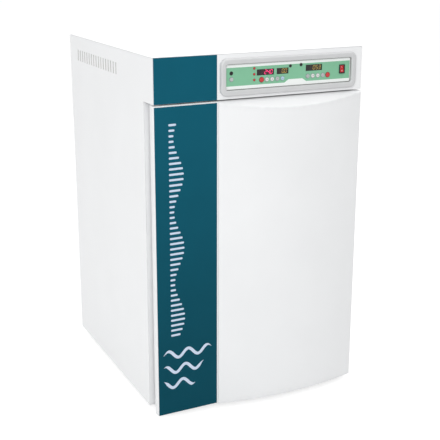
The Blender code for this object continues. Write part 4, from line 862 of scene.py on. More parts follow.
@dataclass(frozen=True)
class TintedFilm(Finish):
    """Printed self-adhesive film, darker towards the bottom, with a satin laminate."""

    deep: Colour = (0.0, 0.0, 0.0)
    low: float = 0.0
    high: float = 1.0
    mottle: float = 0.12
    mottle_colour: Colour = (0.0, 0.0, 0.0)
    grain_depth: float = 0.000006

    def apply(self, draft: Draft) -> None:
        """Build the film's nodes in a draft.

        Args:
            draft: The draft of its material.
        """
        grain = draft.effect(EFFECTS.fine_grain, Scale=3200.0, Tone_Scale=12.0)
        height = add_node(draft.tree, "ShaderNodeSeparateXYZ", {0: draft.here}).outputs["Z"]
        inputs = {"Value": height, "From Min": self.low, "From Max": self.high}
        share = add_node(draft.tree, "ShaderNodeMapRange", inputs, interpolation_type="SMOOTHSTEP")
        tint = blended(draft.tree, share.outputs["Result"], self.deep, self.colour)
        amount = worked(draft.tree, "MULTIPLY", grain["Tone"], self.mottle)
        draft.feed("Base Color", blended(draft.tree, amount, tint, self.mottle_colour))
        draft.feed("Roughness", draft.uneven(grain["Tone"], self.roughness, 0.04, 0.05))
        draft.plain(Specular_IOR_Level=0.06)
        draft.emboss(grain["Height"], self.grain_depth)


@dataclass(frozen=True)
class PrintedPanel(Finish):
    """The control panel's film: a mint field with white borders and a white tab at its foot."""

    paper: Colour = (0.8, 0.8, 0.8)
    field_low: float = 0.9150
    field_high: float = 0.9630
    field_right: float = 0.2690
    tab_left: float = 0.0650
    tab_right: float = 0.1320
    tab_top: float = 0.9232
    tab_slope: float = 1.5
    grain_depth: float = 0.000008

    def apply(self, draft: Draft) -> None:
        """Build the panel's nodes in a draft: every border is a comparison of a coordinate.

        Args:
            draft: The draft of its material.
        """
        tree = draft.tree
        grain = draft.effect(EFFECTS.fine_grain, Scale=3000.0, Tone_Scale=25.0)
        place = add_node(tree, "ShaderNodeSeparateXYZ", {0: draft.here}).outputs
        above = worked(tree, "GREATER_THAN", place["Z"], self.field_low)
        below = worked(tree, "LESS_THAN", place["Z"], self.field_high)
        inside = worked(tree, "LESS_THAN", place["X"], self.field_right)
        ground = worked(tree, "MULTIPLY", worked(tree, "MULTIPLY", above, below), inside)
        height = worked(tree, "SUBTRACT", place["Z"], self.field_low)
        lean = worked(tree, "MULTIPLY", height, self.tab_slope)
        from_left = worked(tree, "SUBTRACT", worked(tree, "SUBTRACT", place["X"], self.tab_left), lean)
        from_right = worked(tree, "SUBTRACT", worked(tree, "SUBTRACT", self.tab_right, place["X"]), lean)
        between = worked(tree, "GREATER_THAN", worked(tree, "MINIMUM", from_left, from_right), 0.0)
        tab = worked(tree, "MULTIPLY", between, worked(tree, "LESS_THAN", place["Z"], self.tab_top))
        mint = worked(tree, "MULTIPLY", ground, worked(tree, "SUBTRACT", 1.0, tab))
        tone = draft.toned(grain["Tone"], self.colour, 0.93, 1.05)
        draft.feed("Base Color", blended(tree, mint, self.paper, tone))
        draft.feed("Roughness", draft.uneven(grain["Tone"], self.roughness, 0.05, 0.05))
        draft.plain(Coat_Weight=0.2, Coat_Roughness=0.25)
        draft.emboss(grain["Height"], self.grain_depth)


@dataclass(frozen=True)
class BrushedMetal(Finish):
    """Sheet or turned metal with lines drawn along one way."""

    stretch: Point = (6.0, 700.0, 700.0)
    depth: float = 0.00001
    wear: float = 0.4
    worn_tone: float = 1.25

    def apply(self, draft: Draft) -> None:
        """Build the metal's nodes in a draft.

        Args:
            draft: The draft of its material.
        """
        lines = draft.effect(EFFECTS.brushed_lines, Stretch=self.stretch)
        tone = draft.toned(lines["Tone"], self.colour, 0.82, 1.12)
        mask = draft.rubbed(self.wear)
        draft.feed("Base Color", blended(draft.tree, mask, tone, scaled(self.colour, self.worn_tone)))
        draft.feed("Roughness", draft.uneven(lines["Height"], self.roughness, 0.08, 0.12))
        draft.plain(Metallic=1.0)
        draft.emboss(lines["Height"], self.depth)


@dataclass(frozen=True)
class SoftRubber(Finish):
    """Matt rubber or silicone with a bloom on faces that look up."""

    bloom: float = 0.5
    bloom_share: float = 0.6
    bloom_white: float = 0.12
    grain_depth: float = 0.00004

    def apply(self, draft: Draft) -> None:
        """Build the rubber's nodes in a draft.

        Args:
            draft: The draft of its material.
        """
        grain = draft.effect(EFFECTS.fine_grain, Scale=1500.0, Tone_Scale=22.0)
        tone = draft.toned(grain["Tone"], self.colour, 0.85, 1.2)
        pale = tuple(value * self.bloom_share + self.bloom_white for value in self.colour)
        draft.feed("Base Color", blended(draft.tree, draft.dusty(self.bloom), tone, pale))
        draft.feed("Roughness", draft.uneven(grain["Tone"], self.roughness, 0.08, 0.08))
        draft.emboss(grain["Height"], self.grain_depth)


@dataclass(frozen=True)
class FoamedCore(Finish):
    """Foamed insulation: open cells in a skin of uneven tone."""

    cell_scale: float = 420.0
    cell_depth: float = 0.0006
    cell_tone: float = 0.7

    def apply(self, draft: Draft) -> None:
        """Build the foam's nodes in a draft.

        Args:
            draft: The draft of its material.
        """
        inputs = {"Vector": draft.here, "Scale": self.cell_scale}
        cells = add_node(draft.tree, "ShaderNodeTexVoronoi", inputs).outputs["Distance"]
        grain = draft.effect(EFFECTS.fine_grain, Scale=260.0, Tone_Scale=16.0)
        tone = draft.toned(grain["Tone"], self.colour, 0.8, 1.1)
        draft.feed("Base Color", blended(draft.tree, cells, scaled(self.colour, self.cell_tone), tone))
        draft.feed("Roughness", draft.uneven(grain["Tone"], self.roughness, 0.05, 0.0))
        draft.emboss(cells, self.cell_depth)


@dataclass(frozen=True)
class SolderMask(Finish):
    """A circuit board's lacquer over its copper tracks."""

    copper: Colour = (0.0, 0.0, 0.0)
    copper_share: float = 0.7
    track_depth: float = 0.00004

    def apply(self, draft: Draft) -> None:
        """Build the board's nodes in a draft.

        Args:
            draft: The draft of its material.
        """
        inputs = {"Vector": draft.here, "Scale": 90.0, "Mortar Size": 0.03}
        tracks = add_node(draft.tree, "ShaderNodeTexBrick", inputs).outputs["Fac"]
        edge = worked(draft.tree, "MULTIPLY", tracks, self.copper_share)
        draft.feed("Base Color", blended(draft.tree, edge, self.colour, self.copper))
        draft.feed("Roughness", draft.uneven(tracks, self.roughness, 0.0, 0.15))
        draft.emboss(tracks, self.track_depth)


@dataclass(frozen=True)
class ClearGlass(Finish):
    """Clear safety glass with a faint smear of handling."""

    def apply(self, draft: Draft) -> None:
        """Build the glass's nodes in a draft.

        Args:
            draft: The draft of its material.
        """
        grain = draft.effect(EFFECTS.fine_grain, Scale=60.0, Tone_Scale=6.0)
        draft.feed("Base Color", draft.toned(grain["Tone"], self.colour, 0.99))
        draft.feed("Roughness", spread(draft.tree, grain["Tone"], 0.0, self.roughness))
        draft.plain(Transmission_Weight=1.0, IOR=1.5)


@dataclass(frozen=True)
class LitPlastic(Finish):
    """A lit segment, lens or key: coloured plastic that glows from within."""

    glow: Colour = (1.0, 1.0, 1.0)
    strength: float = 1.0
    grain_depth: float = 0.000008

    def apply(self, draft: Draft) -> None:
        """Build the lit plastic's nodes in a draft.

        Args:
            draft: The draft of its material.
        """
        grain = draft.effect(EFFECTS.fine_grain, Scale=1800.0, Tone_Scale=90.0)
        draft.feed("Base Color", draft.toned(grain["Tone"], self.colour, 0.85))
        draft.feed("Emission Color", draft.toned(grain["Tone"], self.glow, 0.8))
        draft.feed("Roughness", draft.uneven(grain["Tone"], self.roughness, 0.05, 0.05))
        draft.plain(Emission_Strength=self.strength)
        draft.emboss(grain["Height"], self.grain_depth)


class Look(Enum):
    """Every finish on the object."""

    CABINET_PAINT = SprayedPaint("cabinet_paint", "powder_coat", srgb(239, 240, 241), 0.42)
    TEAL_FILM = TintedFilm(
        "teal_film", "teal_film", srgb(16, 90, 110), 0.42, deep=srgb(6, 72, 88), low=0.05, high=0.95
    )
    PALE_INK = MouldedPlastic("pale_ink", "teal_film", srgb(200, 214, 234), 0.4, 3000.0, 0.000005)
    BEZEL_PLASTIC = MouldedPlastic("bezel_plastic", "bezel_grey", srgb(203, 204, 205), 0.42)
    PANEL_FILM = PrintedPanel(
        "panel_film", "mint_film", srgb(124, 186, 150), 0.4, paper=srgb(240, 244, 242)
    )
    BLACK_PLASTIC = MouldedPlastic("black_plastic", "black_plastic", srgb(28, 28, 29), 0.42)
    GLOSS_BLACK = MouldedPlastic("gloss_black", "black_plastic", srgb(20, 17, 18), 0.16, 1200.0, 0.000002)
    UNLIT_RED = MouldedPlastic("unlit_red", "black_plastic", srgb(62, 20, 30), 0.3, 1200.0, 0.000002)
    UNLIT_AMBER = MouldedPlastic("unlit_amber", "black_plastic", srgb(52, 44, 26), 0.3, 1200.0, 0.000002)
    LIT_RED = LitPlastic(
        "lit_red", "red_plastic", srgb(200, 40, 90), 0.3, glow=srgb(255, 52, 124), strength=1.35
    )
    LIT_AMBER = LitPlastic(
        "lit_amber", "black_plastic", srgb(132, 112, 48), 0.3, glow=srgb(196, 168, 84), strength=0.62
    )
    LENS_RED = LitPlastic(
        "lens_red", "red_plastic", srgb(190, 30, 42), 0.3, glow=srgb(190, 24, 34), strength=0.5
    )
    KEY_RED = MouldedPlastic("key_red", "red_plastic", srgb(196, 52, 54), 0.34, 2400.0, 0.000008)
    KEY_WHITE = MouldedPlastic("key_white", "grey_plastic", srgb(226, 226, 224), 0.36, 2400.0, 0.000008)
    KEY_GREY = MouldedPlastic("key_grey", "grey_plastic", srgb(186, 190, 190), 0.36, 2400.0, 0.000008)
    KEY_BLUE = MouldedPlastic("key_blue", "grey_plastic", srgb(176, 206, 224), 0.36, 2400.0, 0.000008)
    # Rings of painted shade for the gaps round the keys and the indicator lenses: dark red round the red
    # keys and lenses, grey-blue round the pale keys.
    SHADE_RING_DARK = MouldedPlastic("shade_ring_dark", "black_plastic", srgb(92, 40, 42), 0.4, 2400.0, 0.000005)
    SHADE_RING_PALE = MouldedPlastic("shade_ring_pale", "grey_plastic", srgb(138, 144, 152), 0.4, 2400.0, 0.000005)
    KEY_MARK = MouldedPlastic("key_mark", "black_plastic", srgb(70, 74, 76), 0.5, 2400.0, 0.000005)
    ROCKER_RED = LitPlastic(
        "rocker_red", "red_plastic", srgb(176, 18, 24), 0.25, glow=srgb(150, 12, 16), strength=0.35
    )
    ROCKER_MARK = MouldedPlastic("rocker_mark", "red_plastic", srgb(240, 200, 200), 0.4, 2400.0, 0.000005)
    INNER_PLASTIC = MouldedPlastic(
        "inner_plastic", "grey_plastic", srgb(234, 235, 236), 0.45, 1800.0, 0.00003
    )
    BOARD = SolderMask("board_lacquer", "board_green", srgb(20, 84, 44), 0.4, copper=srgb(150, 120, 60))
    STAINLESS = BrushedMetal("stainless_sheet", "stainless", srgb(200, 199, 197), 0.3)
    STEEL = BrushedMetal("machined_steel", "steel", srgb(165, 165, 168), 0.32, (500.0, 500.0, 40.0))
    ALUMINIUM = BrushedMetal("satin_aluminium", "aluminium", srgb(205, 206, 208), 0.38, (420.0, 60.0, 420.0))
    RUBBER = SoftRubber("black_rubber", "rubber", srgb(34, 34, 35), 0.75)
    MAT = SoftRubber("mat_rubber", "rubber", srgb(58, 60, 62), 0.8, bloom=0.1)
    # The dark grey of a bead of painted shadow that lies round the control panel's opening.
    SHADOW_BEAD = SoftRubber("shadow_bead_rubber", "rubber", srgb(112, 110, 110), 0.7, bloom=0.1)
    SILICONE = SoftRubber("grey_silicone", "silicone", srgb(188, 190, 192), 0.6, bloom=0.15)
    FOAM = FoamedCore("insulation_foam", "foam", srgb(214, 198, 150), 0.9)
    FILTER = FoamedCore("filter_mat", "foam", srgb(206, 206, 203), 0.9)
    GLASS = ClearGlass("safety_glass", "glass", srgb(236, 247, 244), 0.03)
    BRASS = BrushedMetal("turned_brass", "brass", srgb(206, 170, 100), 0.26, (300.0, 40.0, 300.0))


@dataclass
class Workshop:
    """Where pieces are made: it holds the frame and one material for each finish in use."""

    frame: dict
    merge_distance: float = 0.000002
    least_edge: float = 0.000001
    materials: dict[Look, bpy.types.Material] = field(default_factory=dict)
    made: list[str] = field(default_factory=list)

    def material(self, look: Look) -> bpy.types.Material:
        """The material of a finish, built the first time that it is asked for.

        Args:
            look: The finish.

        Returns:
            The material.
        """
        if look not in self.materials:
            self.materials[look] = look.value.material()
        return self.materials[look]

    def dress(self, look: Look, *nodes: str) -> None:
        """Give solids of the frame their finish.

        Args:
            look: The finish.
            *nodes: The solids' names.
        """
        for name in nodes:
            mesh = self.frame["nodes"][name].data
            mesh.materials.clear()
            mesh.materials.append(self.material(look))
            LOG.info("dressed %s with %s", name, look.value.name)

    def place(
        self,
        name: str,
        skin: Skin,
        look: Look,
        body: str,
        stands_for: Iterable[str] = (),
        crease: float = 35.0,
    ) -> bpy.types.Object:
        """Make a piece from a skin, give it its finish and let it ride on a body.

        Points that coincide are merged, which closes seams and poles, and the faces are turned
        outwards.

        Args:
            name: The piece's name.
            skin: Its surface.
            look: Its finish.
            body: The body that it moves with.
            stands_for: Solids that it replaces.
            crease: The angle in degrees above which an edge stays sharp.

        Returns:
            The piece.
        """
        mesh = bpy.data.meshes.new(name)
        faces = skin.quads.tolist() + [cap.tolist() for cap in skin.caps]
        mesh.from_pydata(skin.points.tolist(), [], faces)
        worn = mesh.attributes.new("worn", "FLOAT", "POINT")
        edge = np.zeros(len(skin.points)) if skin.worn is None else skin.worn
        worn.data.foreach_set("value", edge.astype(np.float32))
        shape = bmesh.new()
        shape.from_mesh(mesh)
        bmesh.ops.remove_doubles(shape, verts=shape.verts, dist=self.merge_distance)
        bmesh.ops.dissolve_degenerate(shape, edges=shape.edges, dist=self.least_edge)
        bmesh.ops.recalc_face_normals(shape, faces=shape.faces)
        shape.to_mesh(mesh)
        shape.free()
        mesh.shade_smooth()
        mesh.set_sharp_from_angle(angle=math.radians(crease))
        piece = bpy.data.objects.new(name, mesh)
        bpy.context.scene.collection.objects.link(piece)
        mesh.materials.append(self.material(look))
        weighted = piece.modifiers.new("even shading", "WEIGHTED_NORMAL")
        weighted.keep_sharp = True
        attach(piece, body)
        if stands_for:
            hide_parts(*stands_for)
        self.made.append(name)
        LOG.info("made %s (%d faces) on %s", name, len(mesh.polygons), body)
        return piece


@dataclass
class Screws:
    """Round-headed screws whose drive is sunk into the crown."""

    radius: float = 3.2 * MM
    height: float = 1.6 * MM
    sides: int = 16

    def skin(self, places: Sequence[Pair], face: float, axis: Axis) -> Skin:
        """Screw heads at several places on one flat face.

        Args:
            places: (across, up) of each.
            face: The depth of the face.
            axis: The way that the face looks.

        Returns:
            One skin for all of them.
        """
        r, h = self.radius, self.height
        drive = [(0.0, h * 0.55), (r * 0.28, h * 0.55), (r * 0.34, h)]
        crown = [(r * 0.62, h * 0.92), (r * 0.88, h * 0.62), (r, h * 0.25), (r, 0.0), (0.0, 0.0)]
        one = turned_skin(drive + crown, (0.0, 0.0, 0.0), axis, self.sides)
        return joined([one.moved((x, face, z)) for x, z in places])


@dataclass
class Cabinet:
    """The painted sheets of the housing, the teal strip on its head, the feet and the rear fittings."""

    shop: Workshop
    sheet: float = 1.5 * MM
    foot_radius: float = 20 * MM
    foot_height: float = 21.7 * MM
    feet: tuple[tuple[str, float, float], ...] = (
        ("foot_front_left", -0.250, -0.2105),
        ("foot_front_right", 0.250, -0.2105),
        ("foot_rear_left", -0.250, 0.2845),
        ("foot_rear_right", 0.250, 0.2845),
    )
    port: Point = (0.180, REAR, 0.640)
    gas: Point = (0.220, REAR, 0.172)
    screw_side: float = 0.298
    screw_heights: Pair = (0.05, 0.97)
    screw_rows: Pair = (0.036, 0.985)
    screw_reach: float = 0.295
    mat_heights: Pair = (0.9225, 0.9625)
    mat_depths: Pair = (-0.078, 0.277)
    mat_reach: float = 0.092
    mat_gap: float = 1.6 * MM
    mat_thickness: float = 2.4 * MM
    mat_rounding: float = 1.0 * MM

    def build(self) -> None:
        """Dress the sheets and make the cover, feet, screws and fittings."""
        sheets = ("left_side_panel", "right_side_panel", "base_pan", "rear_panel", "head_front_panel")
        self.shop.dress(Look.CABINET_PAINT, *sheets, "lower_hinge_bracket")
        self.shop.dress(Look.TEAL_FILM, "head_teal_strip")
        self.shop.dress(Look.FOAM, "insulation_jacket")
        self.shop.dress(Look.BLACK_PLASTIC, "mains_inlet")
        self.cover()
        for name, x, y in self.feet:
            self.foot(name, x, y)
        self.rear_screws()
        self.vent_mats()
        self.port_plug()
        self.gas_barb()

    def cover(self) -> None:
        """The top sheet, with a fine rounding on every edge."""
        low = (-HALF_WIDTH, FRONT, HEIGHT - self.sheet)
        high = (HALF_WIDTH, REAR, HEIGHT)
        skin = rounded_block(low, high, self.sheet * 0.48)
        self.shop.place("top_sheet", skin, Look.CABINET_PAINT, "cabinet", ["top_cover"])

    def foot(self, name: str, x: float, y: float) -> None:
        """One turned rubber foot, with two grooves round its waist and a hollow sole.

        Args:
            name: The solid that it stands for.
            x: Its place across.
            y: Its place in depth.
        """
        r, h = self.foot_radius, self.foot_height
        rim = [(0.0, h), (r, h), (r, h * 0.82), (r * 0.96, h * 0.78), (r * 0.96, h * 0.70), (r, h * 0.66)]
        waist = [(r * 0.98, h * 0.50), (r * 0.94, h * 0.46), (r * 0.93, h * 0.38), (r * 0.95, h * 0.34)]
        sole = [(r * 0.82, 0.0), (r * 0.45, 0.0), (r * 0.40, 1.5 * MM), (0.0, 1.5 * MM)]
        skin = turned_skin(softened(rim + waist + sole, 0.8 * MM, 3), (x, y, 0.0), Axis.UP, 48)
        self.shop.place(f"{name}_pad", skin, Look.RUBBER, "cabinet", [name])

    def rear_screws(self) -> None:
        """Screws along the edges of the rear sheet, six up each side and two along foot and head."""
        up = np.linspace(*self.screw_heights, 6)
        across = np.linspace(-self.screw_reach, self.screw_reach, 4)[1:-1]
        places = [(side, float(z)) for side in (-self.screw_side, self.screw_side) for z in up]
        places += [(float(x), z) for x in across for z in self.screw_rows]
        skin = Screws().skin(places, REAR, Axis.BACKWARD)
        self.shop.place("rear_screws", skin, Look.STEEL, "cabinet")

    def vent_mats(self) -> None:
        """Pale filter mats that lie against the inside of the side and rear sheets, over the vents."""
        (low, high), (front, back) = self.mat_heights, self.mat_depths
        side, rear, thick = HALF_WIDTH - self.mat_gap, REAR - self.mat_gap, self.mat_thickness
        boxes = (
            ((side - thick, front, low), (side, back, high)),
            ((-side, front, low), (thick - side, back, high)),
            ((-self.mat_reach, rear - thick, low), (self.mat_reach, rear, high)),
        )
        mats = [rounded_block(lowest, highest, self.mat_rounding) for lowest, highest in boxes]
        self.shop.place("vent_filter_mats", joined(mats), Look.FILTER, "cabinet")

    def port_plug(self) -> None:
        """The access port's silicone plug: a tapered body, a soft flange and a dished pull knob."""
        knob = [(0.0, 10.5), (12.0, 10.5), (15.0, 12.0), (22.0, 12.0), (27.0, 9.0), (27.0, 0.3)]
        body = [(19.5, 0.3), (19.3, -12.0), (18.9, -14.0), (19.2, -16.0), (18.7, -45.0), (0.0, -45.0)]
        skin = turned_skin(softened(knob + body, 1.6, 4) * MM, self.port, Axis.BACKWARD, 56)
        self.shop.place("port_stopper", skin, Look.SILICONE, "port_plug", ["port_plug"])

    def gas_barb(self) -> None:
        """The brass gas inlet, with its barbs and a fluted nut."""
        barb = [(0.0, 22.0), (2.4, 22.0), (3.1, 21.0)]
        for top in (18.0, 14.0, 10.0):
            barb += [(4.0, top), (3.0, top - 0.5)]
        nut = [(3.0, 6.4), (7.0, 6.0), (9.8, 5.0), (10.0, 0.9), (9.6, 0.3)]
        stem = [(5.0, 0.3), (5.0, -12.0), (0.0, -12.0)]
        profile, span = np.array(barb + nut + stem) * MM, (0.8 * MM, 5.2 * MM)
        skin = turned_skin(profile, self.gas, Axis.BACKWARD, 72, 6, 1.3 * MM, span)
        self.shop.place("gas_barb", skin, Look.BRASS, "cabinet", ["gas_inlet"])


@dataclass
class SevenSegments:
    """Numerals made of seven bars, as on an LED display, with the bars that glow for each digit."""

    height: float = 10.6 * MM
    width: float = 5.6 * MM
    bar: float = 1.25 * MM
    gap: float = 0.2 * MM
    pitch: float = 8.6 * MM
    slant: float = 0.12
    point_radius: float = 0.75 * MM
    point_shift: float = 0.2 * MM
    lit: tuple[str, ...] = (
        "abcdef", "bc", "abged", "abgcd", "fgbc", "afgcd", "afgedc", "abc", "abcdefg", "abcdfg"
    )

    def bars(self, names: str, x: float, z: float) -> np.ndarray:
        """Outlines of the named bars of one numeral.

        Each bar runs from p to q and is a hexagon: its two points, and four corners half a bar in
        from them and half a bar to each side. The numeral then leans by its slant.

        Args:
            names: Letters a to g, clockwise from the top with g in the middle.
            x: The numeral's middle across.
            z: Its middle height.

        Returns:
            An array (bars, 6, 2).
        """
        w, h = self.width / 2, self.height / 2
        ends = {
            "a": ((-w, h), (w, h)),
            "b": ((w, h), (w, 0)),
            "c": ((w, 0), (w, -h)),
            "d": ((-w, -h), (w, -h)),
            "e": ((-w, 0), (-w, -h)),
            "f": ((-w, h), (-w, 0)),
            "g": ((-w, 0), (w, 0)),
        }
        line = np.array([ends[name] for name in names], float)
        along = line[:, 1] - line[:, 0]
        along /= np.linalg.norm(along, axis=1, keepdims=True)
        side = np.stack([-along[:, 1], along[:, 0]], axis=1) * self.bar / 2
        start = line[:, 0] + along * self.gap
        end = line[:, 1] - along * self.gap
        inner_start, inner_end = start + along * self.bar / 2, end - along * self.bar / 2
        corners = [start, inner_start - side, inner_end - side, end, inner_end + side, inner_start + side]
        shape = np.stack(corners, axis=1)
        shape[..., 0] += shape[..., 1] * self.slant
        return shape + np.array([x, z])

    def outlines(self, text: str, right: float, z: float, lit: bool) -> np.ndarray:
        """The bars of a whole number that ends at the right.

        Args:
            text: Digits and blanks, one to a place.
            right: The middle of the last numeral.
            z: Middle height.
            lit: Whether to draw the bars that glow, or the ones that stay dark.

        Returns:
            An array (bars, 6, 2).
        """
        drawn = []
        for place, sign in enumerate(reversed(text)):
            glowing = self.lit[int(sign)] if sign.isdigit() else ""
            names = glowing if lit else "".join(name for name in "abcdefg" if name not in glowing)
            if names:
                drawn.append(self.bars(names, right - place * self.pitch, z))
        return np.concatenate(drawn)

    def point(self, right: float, z: float, place: int) -> np.ndarray:
        """The decimal point as a hexagon.

        Args:
            right: The middle of the last numeral.
            z: Middle height.
            place: How many places from the right the numeral before the point is.

        Returns:
            An array (1, 6, 2).
        """
        turn = np.arange(6) * math.tau / 6
        x = right - place * self.pitch + self.pitch / 2 + self.point_shift
        foot = z - self.height / 2
        ring = np.stack([np.cos(turn), np.sin(turn)], axis=1) * self.point_radius
        return (ring + np.array([x, foot]))[None]


class Mark(Enum):
    """The mark on a key, as an anticlockwise outline in millimetres about the key's middle."""

    DOWN = ((-1.6, 0.9), (0.0, -1.3), (1.6, 0.9))
    UP = ((-1.6, -0.9), (1.6, -0.9), (0.0, 1.3))
    BAR = ((-1.7, -0.45), (1.7, -0.45), (1.7, 0.45), (-1.7, 0.45))


@dataclass
class Key:
    """One push button of the panel: its solid, its place, its radius, its finish and its mark."""

    name: str
    x: float
    z: float
    radius: float
    look: Look
    mark: Mark | None = None


@dataclass
class Display:
    """One display of the panel.

    Its share is its middle's place across the panel, and last is from there to the last numeral. The
    point stands after the numeral that many places from the right, and 0 is for none.
    """

    name: str
    text: str
    share: float
    last: float
    rise: float
    lit: Look
    unlit: Look
    point: int = 0


DISPLAYS = (
    Display("left", " 240", 0.3074, 18.6 * MM, 8.0 * MM, Look.LIT_RED, Look.UNLIT_RED, 1),
    Display("middle", " 00", 0.4426, 10.6 * MM, 8.0 * MM, Look.LIT_AMBER, Look.UNLIT_AMBER, 1),
    Display("right", " 053", 0.695, 18.6 * MM, 11.5 * MM, Look.LIT_AMBER, Look.UNLIT_AMBER),
)


@dataclass
class Rocker:
    """The power rocker, dished from end to end, with a bar and a ring for on and off.

    Its section is worked out upright from the pins, then tilted about them.
    """

    shop: Workshop
    x: float
    pin_depth: float = OVERLAY_FACE + 1.7 * MM
    pin_height: float = BEZEL_Z + 2.5 * MM
    pin_radius: float = 1.2 * MM
    pin_reach: float = 6.85 * MM
    tilt: float = math.radians(8)
    half_height: float = 9.0 * MM
    half_width: float = 6.1 * MM
    rim: float = 0.5 * MM
    face: float = -3.2 * MM
    dish: float = 1.27 * MM
    dish_power: float = 1.7
    skirt: float = 2.0 * MM
    keel: float = 5.0 * MM
    mark_rise: float = 4.9 * MM
    mark_thickness: float = 0.16 * MM
    bar_half: Pair = (0.45 * MM, 1.7 * MM)
    ring_radii: Pair = (1.75 * MM, 1.1 * MM)

    def build(self) -> None:
        """Make the rocker with its pins, and the marks on its face."""
        half = self.half_height
        up = np.linspace(-half, half, 15)
        skirt = [(self.skirt, half * 0.8), (self.keel, 0.0), (self.skirt, -half * 0.8)]
        section = self.tilted(np.concatenate([np.stack([self.dished(up), up], axis=1), skirt])[::-1])
        body = prism(section, self.x - self.half_width, self.x + self.half_width, Plane.SIDEWAYS, self.rim)
        radius, reach = self.pin_radius, self.pin_reach
        pin = turned_skin([(0.0, reach), (radius, reach), (radius, -reach), (0.0, -reach)], (0.0, 0.0, 0.0))
        pin.points = pin.points[:, [2, 0, 1]] + np.array([self.x, self.pin_depth, self.pin_height])
        self.shop.place("power_rocker", joined([body, pin]), Look.ROCKER_RED, "rocker", ["rocker"])
        self.mark("on", self.bar(), self.mark_rise)
        self.mark("off", self.ring(), -self.mark_rise)

    def dished(self, up: np.ndarray) -> np.ndarray:
        """The face's depth at a height s from the pins: its ends' plus the dish times 1 - |s|^p."""
        return self.face + self.dish * (1 - np.abs(up / self.half_height) ** self.dish_power)

    def tilted(self, section: np.ndarray) -> np.ndarray:
        """Places about the pins, turned by the rocker's tilt and put where the pins are.

        Args:
            section: Rows of (depth, up) from the pins.

        Returns:
            Rows of (depth, height).
        """
        cosine, sine = math.cos(self.tilt), math.sin(self.tilt)
        turn = np.array([[cosine, sine], [-sine, cosine]])
        return section @ turn.T + np.array([self.pin_depth, self.pin_height])

    def bar(self) -> Skin:
        """The upright bar that stands for on, drawn flat about the origin."""
        outline = np.array([[-1, -1], [1, -1], [1, 1], [-1, 1]]) * self.bar_half
        return flat_marks(outline[None], 0.0, self.mark_thickness)

    def ring(self) -> Skin:
        """The ring that stands for off, drawn flat about the origin.

        Returns:
            Its skin.
        """
        angle = np.arange(28) * math.tau / 28
        circle = np.stack([np.cos(angle), np.sin(angle)], axis=1)
        outer, inner = (circle * radius for radius in self.ring_radii)
        depths = [0.0, -self.mark_thickness, -self.mark_thickness, 0.0]
        return lofted([outer, outer, inner, inner], depths, Plane.FACING, ring=True)

    def mark(self, name: str, skin: Skin, rise: float) -> None:
        """Lay a flat mark on the dished face.

        Args:
            name: The mark's name.
            skin: The mark, drawn flat about the origin.
            rise: Its height above the pins.
        """
        up = skin.points[:, 2] + rise
        section = self.tilted(np.stack([skin.points[:, 1] + self.dished(up), up], axis=1))
        skin.points = np.stack([skin.points[:, 0] + self.x, section[:, 0], section[:, 1]], axis=1)
        self.shop.place(f"rocker_{name}_mark", skin, Look.ROCKER_MARK, "rocker")


